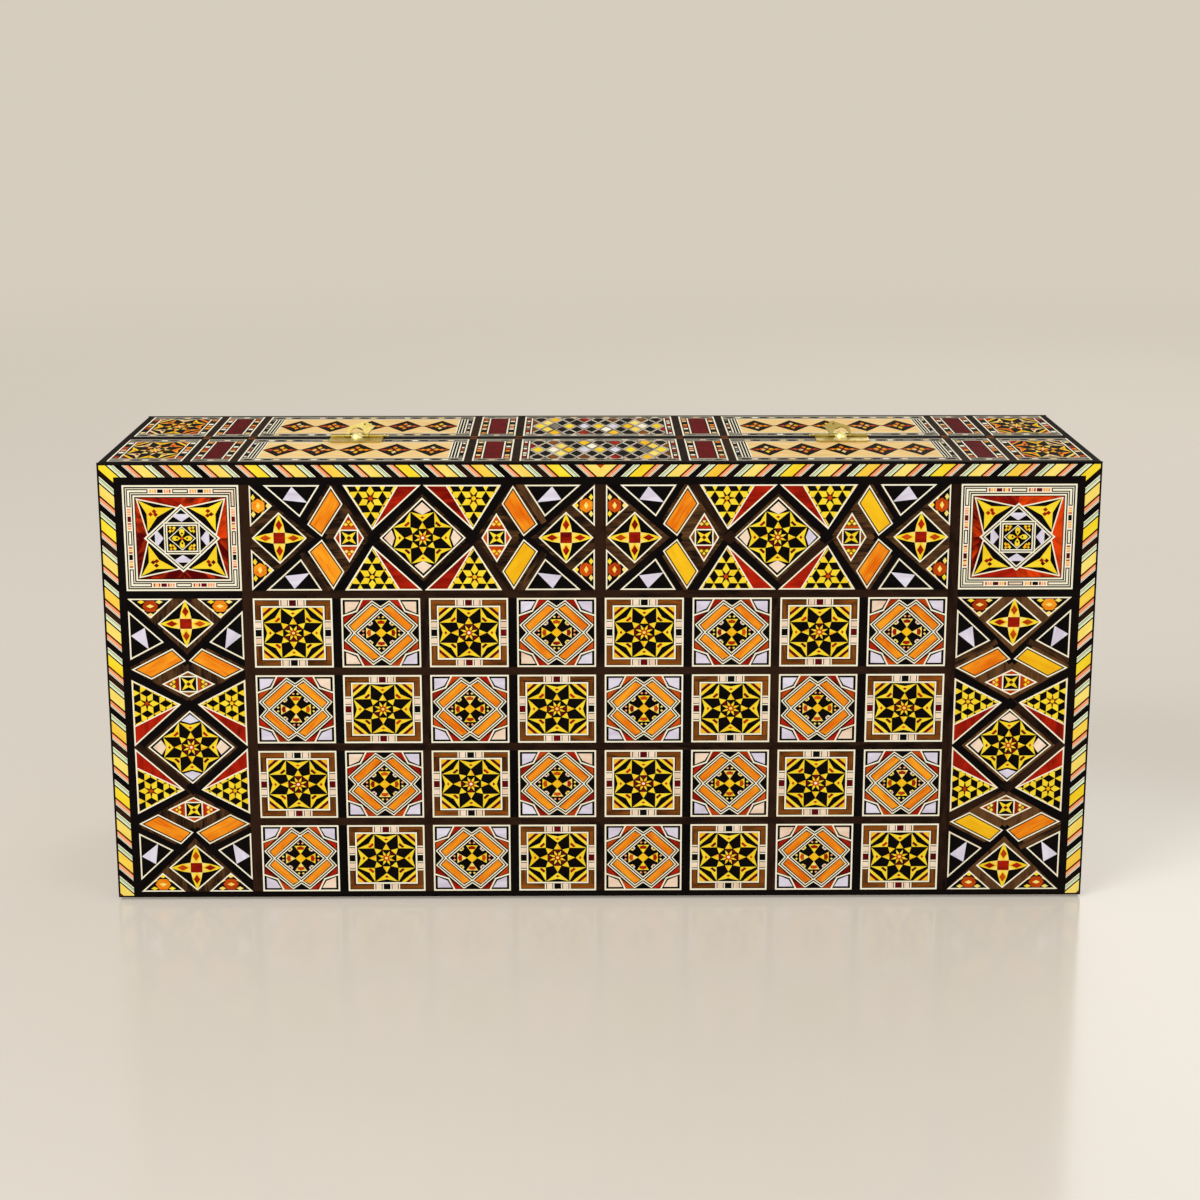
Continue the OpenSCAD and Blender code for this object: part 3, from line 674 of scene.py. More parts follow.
for parity, layer, outline, frames, inlays in (
        (0, star_layer, star_outline,
         ("star_square_frames", "star_squares", "star_marquetry"),
         ("square_star_inlays", "square_stars", "black_star")),
        (1, diamond_layer, diamond_outline,
         ("diamond_square_frames", "diamond_squares", "diamond_marquetry"),
         ("square_diamond_inlays", "square_diamonds", "pearl_diamond"))):
    veneered(*frames, at(layer.kept(outside(outline)), squares(parity)))
    veneered(*inlays, at(layer.kept(inside(outline)), squares(parity)))


# %% [markdown]
# ## Corner tiles
# Each corner of the playing face has one square tile: a frame of bone lines with
# small inlaid blocks, a red flame-figured field with four yellow darts, and a
# diamond in the middle with a little flower.

# %% The flower and the border of a corner tile
def small_flower(size):
    """Four yellow petals round a rust heart."""
    drawing = Cartoon(size, size)
    for k in range(4):
        turn = 90 * k
        drawing.lay("lemon", [polar(turn + angle, radius) for angle, radius in (
            (0, 0.12), (26, 0.50), (17, 0.80), (0, 0.96), (-17, 0.80), (-26, 0.50))])
        drawing.lay("ebony", rhombus(0.11, 0.13, *polar(turn, 0.46)))
    drawing.lay("rust", rhombus(0.17, 0.17))
    return drawing


def tile_border(w, h, depth):
    """Outlined dashes, bent at the corners, and small blocks along the sides."""
    drawing = Cartoon()
    small = [("salmon|rust", 0.9), ("bone", 0.35), ("gold|salmon", 0.9), ("bone", 0.35),
             ("rust|salmon", 0.9)]
    end = [("bone", 0.5)]
    blocks = end + small + end + [("ebony|maroon", 2.8)] + end + small + end
    long = sum(length for _, length in blocks)
    dash = ((0, "ebony"), (0.55, "bone|blush"))
    dash_h, share, gap = 1.05, 0.135, 0.3
    for half, across, turned in ((w, h, False), (h, w, True)):
        reach = half * share
        for side in (-1, 1):
            for start in (reach + gap, -reach - gap - long):
                drawing.run(blocks, start, side * (across - depth), 1.8, turned)
            for less, wood in dash:
                ring = block(reach - less, dash_h - less, 0, side * (across - depth))
                drawing.pieces.append((wood, upended(ring) if turned else ring))
    arm_x, arm_y = [half * (1 - share) - long - 2 * gap - depth for half in (w, h)]
    x, y = w - depth, h - depth
    for less, wood in dash:
        thin = dash_h - less
        drawing.lay(wood, [(x + thin, y + thin), (x - arm_x + less, y + thin),
                           (x - arm_x + less, y - thin), (x - thin, y - thin),
                           (x - thin, y - arm_y + less), (x + thin, y - arm_y + less)], MIRRORS)
    return drawing


# %% A corner tile
CORNER_SHARE, CORNER_FRAME = 0.7, 6.6
CORNER_W = CORNER_SHARE * (PANEL_W / 2 - CORNER_FRAME)
CORNER_H = CORNER_SHARE * (BAND_H / 2 - CORNER_FRAME)


def corner_tile():
    w, h = PANEL_W / 2, BAND_H / 2
    drawing = Cartoon()
    drawing.framed(block(w, h), lines(0, 0.85, 1.55, 4.5, 5.15, 5.95))
    drawing.add(tile_border(w, h, 3.02))
    fw, fh = w - 6.4, h - 6.4
    field = Cartoon(fw, fh)
    for side in range(4):
        for a, b in (((-1, 1), (0, 1)), ((0, 1), (1, 1))):
            field.lay("flame|flame|red", [a, b, (0, 0)], [QUARTERS[side]])
    field.framed([(-0.99, 0.99), (-0.77, 0.07), (-0.30, 0.30), (-0.07, 0.77)], lines(0, 0.65),
                 QUARTERS)
    field.lay("lemon", [(-0.94, 0.94), (-0.76, 0.60), (-0.755, 0.17), (-0.53, 0.53),
                        (-0.17, 0.755), (-0.60, 0.76)], QUARTERS)
    for x, y in ((-0.595, 0.665), (-0.565, 0.585), (-0.675, 0.595)):
        field.lay("maroon|red", rhombus(0.055, 0.06, x, y), QUARTERS)
    grow = 1.22
    field.framed([(x / fw, y / fh) for x, y in rhombus(CORNER_W * grow, CORNER_H * grow)],
                 lines(0, 0.8, 1.3, 1.95))
    field.lay("pearl", [(-0.20, 0.55), (0, 0.41), (0.20, 0.55), (0.13, 0.60), (-0.13, 0.60)],
              QUARTERS)
    field.framed(block(0.40, 0.395), lines(0, 0.65, 1.15, 1.8))
    field.framed(rhombus(0.305, 0.30), lines(0, 0.4))
    drawing.add(field)
    drawing.add(small_flower(5.4))
    for x, y, size in ((4.6, 4.4, 1.15), (5.9, 3.6, 0.8), (3.7, 5.3, 0.8), (5.7, 5.4, 0.7)):
        drawing.lay("lemon|gold", rhombus(size, size * 1.15, x, y), MIRRORS)
    drawing.lay("rust|maroon", rhombus(0.75, 0.8, 4.9, 4.6), MIRRORS)
    return drawing


corner_rhombus = rhombus(CORNER_W, CORNER_H)
corner_layer = Layer(corner_tile(), [corner_rhombus])
corner_spots = [(-PANEL_X, BAND_Z), (PANEL_X, BAND_Z)]
veneered("corner_tile_inlays", "corner_tiles", "corner_marquetry",
         at(corner_layer.kept(outside(corner_rhombus)), corner_spots))


# %% [markdown]
# ## Panels
# The band above the squares and the panels beside them repeat one drawing: a large
# rosette in a diamond, flower triangles, slanting orange bars, a small rhombus, a
# star and shell triangles. It is symmetrical, so only one quarter is drawn, from
# the panel's end to its middle, and the mirrors of the cartoon make the rest.

# %% Flowers that fill a triangle
def flower_lattice(reach, middle):
    """Six-petalled flowers whose petals meet tip to tip, round a middle."""
    drawing = Cartoon()
    step = reach * math.sqrt(3)
    for i in range(-2, 3):
        for j in range(-2, 3):
            x, y = middle[0] + step * (i + j / 2), middle[1] + step * j * math.sqrt(3) / 2
            for k in range(6):
                petal = [polar(60 * k + turn, reach * radius) for turn, radius in (
                    (0, 0.2), (28, 0.56), (0, 1), (-28, 0.56))]
                drawing.lay("lemon", moved(petal, x, y))
                dot = polar(60 * k + 30, reach * 0.29)
                drawing.lay("maroon|red|ebony",
                            rhombus(reach * 0.1, reach * 0.1, x + dot[0], y + dot[1]))
            drawing.lay("rust|gold", moved([polar(60 * k, reach * 0.17) for k in range(6)], x, y))
    return drawing


# %% What fills the rhombi of a panel
def end_star(sizes):
    """A yellow star with four long points."""
    star = Cartoon(*sizes)
    star.lay("lemon", [(-3.0, 2.8), (3.0, 2.8), (2.3, 6.6), (1.1, 10.0), (0, 12.4),
                       (-1.1, 10.0), (-2.3, 6.6)], ENDS)
    star.lay("lemon", [(2.8, 2.8), (2.8, -2.8), (7.0, -2.1), (10.8, -1.0), (13.4, 0),
                       (10.8, 1.0), (7.0, 2.1)], SIDES)
    star.lay("straw", [(-3.0, 2.8), (-0.4, 2.8), (-2.2, 6.0)], MIRRORS)
    star.lay("straw", [(2.8, -2.8), (2.8, -0.4), (6.2, -2.0)], MIRRORS)
    star.lay("rust|red", rhombus(1.7, 2.8, 0, 6.6), ENDS)
    star.lay("rust|red", rhombus(2.9, 1.6, 7.0, 0), SIDES)
    star.lay("red", block(2.9, 2.7))
    return star


def small_rhombus(sizes, middle):
    """A little four-pointed star on rust wood, between dots and red bars."""
    tips = Cartoon(*sizes)
    tips.lay("rust|rust|amber", block(8, 13, middle, 0))
    tips.framed(block(4.7, 4.3, middle, 0), lines(0, 0.65))
    tips.lay("lemon", [(middle + x, y) for x, y in (
        (-3.6, 3.2), (0, 1.5), (3.6, 3.2), (1.7, 0), (3.6, -3.2), (0, -1.5), (-3.6, -3.2),
        (-1.7, 0))])
    tips.lay("ebony", rhombus(1.2, 1.15, middle, 0))
    tips.lay("red", rhombus(0.55, 0.5, middle, 0))
    for sign in (-1, 1):
        tips.lay("rust|red", block(3.6, 0.55, middle, sign * 5.2))
        for x, y, w, h in ((-1.4, 6.9, 1.15, 0.9), (1.4, 6.9, 1.15, 0.9), (0, 8.3, 0.8, 1.0)):
            tips.lay("lemon|straw", rhombus(w, h, middle + x, sign * y))
        tips.lay("red|rust", rhombus(1.0, 1.5, middle, sign * 10.0))
    return tips


def rosette(sizes):
    """A star without corners, between four tips of shell."""
    rose = Cartoon(*sizes)
    rose.lay("blush|blush|pearl", [(-4.3, 14.2), (0, 18.2), (4.3, 14.2), (0, 11.8)], ENDS)
    rose.lay("blush|blush|pearl", [(15.5, 4.2), (19.3, 0), (15.5, -4.2), (14.0, 0)], SIDES)
    rose.add(star_field(14.9 * sizes[0], 13.4 * sizes[1], corners=False))
    return rose


# %% One panel, from the quarter that is drawn
PANEL_L, PANEL_H = 171.975, 54.0  # the panel that the points below were drawn for
# middle, half width and half height of each rhombus, as shares of half a panel
PANEL_RHOMBI = [(-0.833, 0.160, 0.490), (-0.429, 0.088, 0.467), (0, 0.250, 0.763),
                (0.429, 0.088, 0.467), (0.833, 0.160, 0.490)]


def panel(length, height):
    """A panel along x. Points are the distance from its end and from its middle line."""
    drawing = Cartoon(length / PANEL_L, height / PANEL_H)
    half = PANEL_L / 2

    def q(*points):
        return [(half - u, v) for u, v in points]

    drawing.lay("walnut", block(half, PANEL_H / 2))
    drawing.line("ebony", 5.0, q((3, 28), (31.5, 3.5), (36.5, 0)), MIRRORS)
    drawing.line("ebony|smoked|ebony", 4.2, q((42, 29), (62.5, -0.5)), MIRRORS)
    drawing.line("ebony|smoked|ebony", 3.9, q((89, 28), (60.5, 0.5)), MIRRORS)
    drawing.line("walnut|ebony", 3.0, q((38, 28), (25.5, 8)), MIRRORS)
    drawing.lay("ebony|smoked", rhombus(4.5, 3.6, half - 62.2, 0), SIDES)
    # small flower triangle at the end
    end_triangle = q((0, 26.9), (0, 5.8), (11.3, 16.4))
    drawing.framed(end_triangle, lines(0, 0.65), MIRRORS)
    sprig = Cartoon(*drawing.sizes)
    heart = half - 4.3, 16.4
    for k in range(6):
        sprig.lay("lemon|straw", rhombus(1.15, 1.7, *moved([polar(60 * k + 30, 4.9)], *heart)[0]))
    sprig.lay("rust|rust|orange", moved([polar(60 * k, 3.7) for k in range(6)], *heart))
    sprig.lay("straw", rhombus(1.1, 1.9, *heart))
    flowers = Cartoon()
    flowers.add(sprig, window=inset(drawing.outline(end_triangle), 0.65))
    drawing.add_mirrored(flowers)
    # black triangle with a triangle of shell
    drawing.framed(q((7.0, 26.9), (35.1, 26.9), (24.9, 10.7)), lines(0, 0.7), MIRRORS)
    drawing.lay("pearl", q((21.2, 26.1), (16.6, 19.4), (28.9, 18.0)), MIRRORS)
    # slanting orange bar
    drawing.framed(q((40.7, 26.6), (46.4, 17.3), (35.6, 0.7), (28.5, 6.9)),
                   lines(0, 0.65) + [(1.2, "orange|orange|orange|orange|gold")], MIRRORS)
    # flower triangle and its red sliver
    drawing.framed(q((46.6, 26.9), (85.4, 26.9), (60.9, 4.0)), [(0, "bone"), (0.7, "red")],
                   MIRRORS)
    triangle = q((47.9, 26.2), (73.6, 26.2), (60.7, 5.6))
    drawing.lay("ebony", triangle, MIRRORS)
    flowers = Cartoon()
    wide, high = drawing.sizes
    flowers.add(flower_lattice(7.0 * min(wide, high), ((half - 60.3) * wide, 20.1 * high)),
                window=drawing.outline(triangle))
    drawing.add_mirrored(flowers)
    drawing.line("bone", 0.65, q((73.9, 26.6), (61.0, 4.9)), MIRRORS)
    # the rhombi: star, small rhombus and rosette
    for place, w, h in PANEL_RHOMBI:
        outline = rhombus(w * half, h * PANEL_H / 2, place * half, 0)
        drawing.framed(outline, lines(0, 0.7))
        if abs(place) > 0.7:
            drawing.add(end_star(drawing.sizes), place * half * wide)
        elif abs(place) > 0.2:
            drawing.add(small_rhombus(drawing.sizes, place * half),
                        window=inset(drawing.outline(outline), 0.7))
        else:
            drawing.add(rosette(drawing.sizes))
    whole = Cartoon()
    whole.add(drawing, window=block(length / 2, height / 2))
    return whole


# %% Laying the panels and their rhombi
def rhombi_outlines(length, height):
    return [rhombus(w * length / 2, h * height / 2, place * length / 2, 0)
            for place, w, h in PANEL_RHOMBI]


upright = Cartoon()
upright.add(panel(FIELD_H, PANEL_W), quarter=True)
band_rhombi = rhombi_outlines(BAND_W, BAND_H)
side_rhombi = [[(-y, x) for x, y in ring] for ring in rhombi_outlines(FIELD_H, PANEL_W)]
band_layer = Layer(panel(BAND_W, BAND_H), band_rhombi)
side_layer = Layer(upright, side_rhombi)
band_spots = [(side * (MID_BAR + BAND_W) / 2, BAND_Z) for side in (-1, 1)]
side_spots = [(side * PANEL_X, FOOT + FIELD_H / 2) for side in (-1, 1)]
print("panel:", len(band_layer.pieces), "pieces of wood,", len(band_layer.faces), "faces")
veneered("band_panel_inlays", "band_panels", "panel_marquetry",
         at(band_layer.kept(outside(*band_rhombi)), band_spots))
veneered("side_panel_inlays", "side_panels", "panel_marquetry",
         at(side_layer.kept(outside(*side_rhombi)), side_spots))
veneered("panel_rhombus_inlays", "panel_rhombi", "rhombus_marquetry",
         at(band_layer.kept(inside(*band_rhombi)), band_spots)
         + at(side_layer.kept(inside(*side_rhombi)), side_spots)
         + at(corner_layer.kept(inside(corner_rhombus)), corner_spots))

# %% [markdown]
# ## Rope stringing
# A border of slanting strips runs up both sides and along the top. A maker glues
# long sticks of coloured wood side by side, saws slices across the bundle on the
# slant and lays them in a row. Here parallel strips are cut to the border's
# outline: on the left half they lean one way, a little flatter than halfway, and the
# right half mirrors them. The run down the side is a new one, fitted to the end of
# the top run along one slanting joint.

# %% The slanting strips
ROPE_PITCH, ROPE_LEAN, ROPE_TURNS, ROPE_JOINT = 18.74, 0.934, 15, 2.0
ROPE_STRIPS = [("straw|lemon|straw|honey", 6.0), ("ebony", 0.95), ("bone", 0.7), ("green", 1.3),
               ("ebony", 0.3), ("bone", 0.8), ("smoked|ebony", 3.9), ("bone", 0.45),
               ("taupe", 0.4), ("bone", 0.4), ("salmon", 1.9), ("red", 0.4), ("ebony", 0.8)]
REACH = 400  # half the width that a strip is drawn over before it is cut
NOTCH_W, NOTCH_H = 1.6, 1.5
OUTER_X, OUTER_Z = BOX_W / 2 - EDGE_W, BOX_H - EDGE_W
INNER_X, INNER_Z = OUTER_X - ROPE_W, OUTER_Z - ROPE_H
TOP_START, FLANK_START = -1.9, -OUTER_X - 10.0  # where the first strip of each run ends


def rope():
    joint = OUTER_Z - ROPE_JOINT
    low_joint = joint - ROPE_W * ROPE_LEAN
    top = [(-INNER_X, INNER_Z), (0, INNER_Z), (0, OUTER_Z), (-INNER_X, OUTER_Z)]
    corner = [(-OUTER_X, joint), (-INNER_X, low_joint), (-INNER_X, OUTER_Z), (-OUTER_X, OUTER_Z)]
    flank = [(-OUTER_X, EDGE_W), (-INNER_X, EDGE_W), (-INNER_X, low_joint), (-OUTER_X, joint)]
    drawing = Cartoon()
    drawing.lay("ebony", block(OUTER_X, ROPE_H / 2, 0, OUTER_Z - ROPE_H / 2))
    for side in (-1, 1):
        drawing.lay("ebony", block(ROPE_W / 2, (INNER_Z - EDGE_W) / 2,
                                   side * (OUTER_X - ROPE_W / 2), (INNER_Z + EDGE_W) / 2))
    scale = ROPE_PITCH / sum(width for _, width in ROPE_STRIPS)
    high, low = OUTER_Z + REACH * ROPE_LEAN, OUTER_Z - REACH * ROPE_LEAN
    for windows, start in (((top, corner), TOP_START), ((flank,), FLANK_START)):
        for turn in range(ROPE_TURNS):
            a = start - turn * ROPE_PITCH - ROPE_STRIPS[0][1] * scale
            for woods, width in ROPE_STRIPS:
                choices = woods.split("|")
                wood, b = choices[turn % len(choices)], a + width * scale
                strip = [(a - REACH, high), (a + REACH, low), (b + REACH, low), (b - REACH, high)]
                for window in windows:
                    ring = clipped(turned_ccw(strip), window)
                    if ring:
                        drawing.pieces += [(wood, ring), (wood, flipped(ring, -1))]
                a = b
    drawing.lay("rust", [(0, OUTER_Z - NOTCH_H), (NOTCH_W, OUTER_Z), (-NOTCH_W, OUTER_Z)])
    return drawing


veneered("rope_stringing_strips", "rope_stringing", "rope_stringing", [(Layer(rope()), 0, 0)])

# %% [markdown]
# ## The dark ground
# Everything is let into a dark ground of ebony and walnut strips. The outer edge of
# the real box is rounded by sanding, so the ground's outermost rings step back along
# a quarter circle as deep as the veneer.

# %% Ground of the playing face
ROUND = 1.1
EDGE_RINGS = (0.12, 0.35, 0.7, ROUND)


def softened(place, left, right, low, high):
    """A place whose depth grows along a quarter circle near the given edges."""
    def soft(x, y, depth):
        gap = min(x - left, right - x, y - low, high - y)
        near = max(ROUND - max(gap, 0), 0)
        return place(x, y, depth or max(ROUND - math.sqrt(ROUND ** 2 - near ** 2), 0))
    return soft


def face_ground():
    drawing = Cartoon()
    drawing.framed(block(BOX_W / 2, BOX_H / 2, 0, BOX_H / 2),
                   [(depth, "ebony") for depth in (0, *EDGE_RINGS)])
    pitch = SQUARE_H + BAR_H
    for row in range(ROWS):
        drawing.lay("smoked", block(FIELD_W / 2, BAR_H / 2, 0,
                                    FOOT + SQUARE_H + BAR_H / 2 + row * pitch))
    for column in range(COLUMNS - 1):
        x = -FIELD_W / 2 + SQUARE_W + BAR_W / 2 + column * (SQUARE_W + BAR_W)
        for row in range(ROWS):
            drawing.lay("smoked" if column % 2 else "ebony",
                        block(BAR_W / 2, SQUARE_H / 2, x, FOOT + SQUARE_H / 2 + row * pitch))
    drawing.lay("smoked", block(MID_BAR / 2, BAND_H / 2, 0, BAND_Z))
    half = (FIELD_H + BAND_GAP + BAND_H) / 2
    for side in (-1, 1):
        drawing.lay("smoked", block(PANEL_GAP / 2, half, side * (FIELD_W + PANEL_GAP) / 2,
                                    FOOT + half))
    return drawing


holes = [block(w / 2, h / 2, x, z) for w, h, spots in (
    (SQUARE_W, SQUARE_H, squares(0) + squares(1)), (PANEL_W, BAND_H, corner_spots),
    (BAND_W, BAND_H, band_spots), (PANEL_W, FIELD_H, side_spots)) for x, z in spots]
holes.append([(-OUTER_X, EDGE_W), (-INNER_X, EDGE_W), (-INNER_X, INNER_Z), (INNER_X, INNER_Z),
              (INNER_X, EDGE_W), (OUTER_X, EDGE_W), (OUTER_X, OUTER_Z), (-OUTER_X, OUTER_Z)])
veneered("face_ground_strips", "face_ground", "ebonised_ground",
         [(Layer(face_ground(), holes).kept(outside(*holes)), 0, 0)],
         softened(on_face, -BOX_W / 2, BOX_W / 2, 0, BOX_H))

# %% [markdown]
# ## Top and ends
# Nine tiles lie along the top of each half, with a dark bar between two tiles: star,
# plain, chain, plain, lattice and back again. The ends aren't in the photograph and
# repeat the same kinds. All have rows of dashes towards the face and the seam, and
# columns of small blocks at their left and right.

# %% Rows and columns that frame a tile
DASH_PITCH, DASH_W, PALE_W, DASH_SHARE = 9.4, 1.9, 1.5, 0.17
BLOCK_PITCH, BLOCK_SHARE, BONE_LINE, EBONY_LINE = 6.4, 0.31, 0.75, 0.6


def dash_row(length, across, depth):
    """A row of grey sycamore beside a bone line, with dark, grey and pale dashes."""
    drawing = Cartoon()
    drawing.framed(block(length / 2, depth / 2, 0, across), [(0, "bone"), (0.5, "taupe")])
    count = max(round(length / DASH_PITCH), 2)
    pitch = length / count
    for k in range(count):
        x = -length / 2 + (k + 0.5) * pitch
        drawing.lay("ebony|ebony|smoked|taupe", block(DASH_W, depth * DASH_SHARE, x, across))
        if k:
            drawing.lay("cream|bone|taupe|blush",
                        block(PALE_W, depth * DASH_SHARE, x - pitch / 2, across))
    return drawing


def block_column(across, width, length, woods):
    """A column of small blocks parted by ebony, between two bone lines."""
    drawing = Cartoon()
    drawing.lay("bone", block(width / 2, length / 2, across, 0))
    drawing.lay("ebony", block(width / 2 - BONE_LINE, length / 2, across, 0))
    count = max(round(length / BLOCK_PITCH), 3)
    pitch, half = length / count, width / 2 - BONE_LINE - EBONY_LINE
    for k in range(count):
        y = -length / 2 + (k + 0.5) * pitch
        drawing.lay(woods[k % len(woods)], block(half, pitch * BLOCK_SHARE, across, y))
    return drawing


def tile_frame(length, row, column, *woods):
    drawing = Cartoon()
    drawing.lay("ebony", block(length / 2, TILE_DEPTH / 2))
    for sign in (-1, 1):
        drawing.add(dash_row(length, sign * (TILE_DEPTH - row) / 2, row))
        drawing.add(block_column(sign * (length - column) / 2, column, TILE_DEPTH - 2.2 * row,
                                 woods))
        drawing.lay("bone", block(0.4, TILE_DEPTH / 2, sign * (length / 2 - 0.4)))
    return drawing


# %% The star tile and the plain tile
def star_tile(length):
    drawing = tile_frame(length, 7.4, 5.2, "rust|orange", "ebony|smoked", "bone|cream",
                         "salmon|orange")
    drawing.add(star_field(length / 2 - 5.4, TILE_DEPTH / 2 - 7.6,
                           bright="gold|straw|orange|cream", warm="orange|rust|amber",
                           heart="orange|rust"))
    return drawing


def plain_tile(length):
    drawing = tile_frame(length, 6.2, 5.0, "salmon|rust", "bone|cream", "ebony", "cream|orange")
    drawing.framed(block(length / 2 - 5.2, TILE_DEPTH / 2 - 6.7),
                   [(0, "ebony"), (0.35, "maroon")])
    return drawing


# %% The chain tile
LINK_PITCH = 18.7


def chain_tile(length):
    """A chain of black rhombi, each with a flower, between thin bone lines."""
    drawing = tile_frame(length, 8.8, 4.0, "taupe|blush", "ebony|smoked", "blush|pearl",
                         "rust|taupe")
    w, h = length / 2 - 4.2, TILE_DEPTH / 2 - 9.0
    for k in range(2):
        for sign in (-1, 1):
            drawing.lay("bone", block(0.27, h, sign * (w - 1.0 - 1.6 * k)))
    field_w = w - 3.6
    drawing.framed(block(field_w, h), [(0, "bone"), (0.6, "cream")])
    count = max(round(2 * field_w / LINK_PITCH), 1)
    pitch = 2 * field_w / count
    flower = Cartoon(pitch / 2 - 0.3, h * 0.80)
    flower.lay("orange|rust", [(0.30, 0), (0.52, 0.13), (0.88, 0), (0.52, -0.13)], SIDES)
    flower.lay("red", rhombus(0.13, 0.06, 0.66, 0), SIDES)
    flower.lay("gold|cream|orange", [(0.03, 0.16), (-0.14, 0.34), (0, 0.56), (0.14, 0.34)], ENDS)
    for sign, woods in ((1, "gold|cream|orange"), (-1, "rust|orange")):
        petal = [(0.06, 0.03), (0.20, 0.21), (0.38, 0.10), (0.24, -0.02)]
        flower.lay(woods, [(sign * x, y) for x, y in petal], QUARTERS[::2])
    flower.lay("maroon", rhombus(0.08, 0.12))
    for k in range(count):
        x = -field_w + (k + 0.5) * pitch
        drawing.lay("ebony", block(1.9, 0.9, x + pitch / 2) if k < count - 1
                    else block(0.3, 0.3, x))
        drawing.lay("ebony", rhombus(pitch / 2 - 0.3, h * 0.80, x))
        drawing.add(flower, x)
    return drawing


# %% The lattice tile
def lattice_tile(length):
    """Upright rhombi in five rows, each in a bone or grey outline, as if plaited."""
    drawing = tile_frame(length, 5.6, 4.4, "red", "blush|bone", "bone|taupe")
    w, h = length / 2 - 4.8, TILE_DEPTH / 2 - 5.8
    drawing.lay("ebony", block(w, h))
    a, b = w / 9, h / 2.45
    plait = Cartoon()
    for row in range(-3, 4):
        for column in range(-11, 12):
            if (row + column) % 2:
                continue
            if abs(column) == 9:
                wood = "smoked|red|amber"
            elif row == 0:
                wood = "pearl|bone|taupe" if column % 4 else "gold|lemon"
            elif abs(row) == 1:
                wood = "ebony" if column % 4 == 1 else "bone|pearl|straw|ebony"
            else:
                wood = ("ebony", "amber|red", "ebony", "gold|amber")[(column // 2) % 4]
            plait.framed(rhombus(a * 0.98, b * 0.98, column * a, row * b),
                         [(0.1, "taupe|bone|blush"), (0.5, "ebony"), (0.85, wood)])
    drawing.add(plait, window=block(w, h))
    return drawing


# %% Every kind of tile, and its order along the top and the ends
KINDS = {"star": star_tile, "plain": plain_tile, "chain": chain_tile, "lattice": lattice_tile}
CHAIN_TOP = (BOX_W - 2 * TILE_MARGIN - 2 * STAR_TILE - 4 * PLAIN_TILE - LATTICE_TILE
             - 8 * TILE_BAR) / 2
CHAIN_END = BOX_H - 2 * TILE_MARGIN - 2 * STAR_TILE - 2 * PLAIN_TILE - 4 * TILE_BAR
START = [("star", STAR_TILE), ("plain", PLAIN_TILE)]
TOP_HALF = START + [("chain", CHAIN_TOP), ("plain", PLAIN_TILE)]
TOP_RUN = TOP_HALF + [("lattice", LATTICE_TILE)] + TOP_HALF[::-1]
END_RUN = START + [("chain", CHAIN_END)] + START[::-1]
tile_layers = {}
for kind, length in TOP_RUN + END_RUN:
    if (kind, length) not in tile_layers:
        tile_layers[kind, length] = Layer(KINDS[kind](length))
        print(f"{kind} tile {length:.1f} mm:", len(tile_layers[kind, length].faces), "faces")


# %% Laying the tiles
def tile_spots(run, start):
    spots, x = [], start + TILE_MARGIN
    for kind, length in run:
        spots.append((tile_layers[kind, length], x + length / 2, TILE_SIDE + TILE_DEPTH / 2))
        x += length + TILE_BAR
    return spots


both_ends = (("left", on_left_end), ("right", on_right_end))
veneered("top_tile_inlays", "top_tiles", "edge_tiles", tile_spots(TOP_RUN, -BOX_W / 2), on_top)
both_halves("end_tile_inlays", "end_tiles", joined("end_tile_inlays", [
    laid(f"end_tiles_{side}", tile_spots(END_RUN, 0), place) for side, place in both_ends]))


# %% Grounds of the top and the ends
GROUND_H, GROUND_Y = (HALF_D - SEAM - VENEER) / 2, (HALF_D - SEAM + VENEER) / 2
FAR = 999  # stands for an edge that isn't softened
BAR_SHORT, AMBER_NARROW, AMBER_H, AMBER_DOWN = 0.3, 0.2, 1.3, 2.4


def edge_ground(run, start, low_x, high_x):
    """Ground strips: ebony beside the tiles, walnut bars with amber ends between them."""
    drawing = Cartoon()
    drawing.lay("ebony", block((high_x - low_x) / 2, GROUND_H, (low_x + high_x) / 2, GROUND_Y))
    x = start + TILE_MARGIN
    for _, length in run[:-1]:
        x += length
        middle = x + TILE_BAR / 2
        drawing.lay("smoked", block(TILE_BAR / 2, GROUND_H - BAR_SHORT, middle,
                                    GROUND_Y - BAR_SHORT))
        drawing.lay("amber", block(TILE_BAR / 2 - AMBER_NARROW, AMBER_H, middle,
                                   HALF_D - SEAM - AMBER_DOWN))
        x += TILE_BAR
    return drawing


def run_holes(run, start):
    return [block(length / 2, TILE_DEPTH / 2, x, y)
            for (_, length), (_, x, y) in zip(run, tile_spots(run, start))]


top_holes, end_holes = run_holes(TOP_RUN, -BOX_W / 2), run_holes(END_RUN, 0)
top_ground = Layer(edge_ground(TOP_RUN, -BOX_W / 2, -CORE_X, CORE_X), top_holes)
end_drawing = edge_ground(END_RUN, 0, 0, BOX_H)
end_drawing.pieces[1:1] = [("ebony", block((BOX_H - d) / 2, GROUND_H, (BOX_H - d) / 2, GROUND_Y))
                           for d in EDGE_RINGS]
end_ground = Layer(end_drawing, end_holes).kept(outside(*end_holes))
veneered("top_ground_strips", "top_ground", "ebonised_ground",
         [(top_ground.kept(outside(*top_holes)), 0, 0)], on_top)
both_halves("end_ground_strips", "end_grounds", joined("end_ground_strips", [
    laid(f"end_ground_{side}", [(end_ground, 0, 0)], softened(place, -FAR, BOX_H, -FAR, FAR))
    for side, place in both_ends]))

# %% [markdown]
# ## The case and the inside
# The walls, the boards behind the marquetry and the floor lining are the packed
# solids themselves. They get solid walnut, whose rings run through the wood, so its
# pattern lives in the part's own space and not on a surface.

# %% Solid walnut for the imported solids
ALONG_X, ALONG_Z = (4.0, 60.0, 60.0), (60.0, 60.0, 4.0)


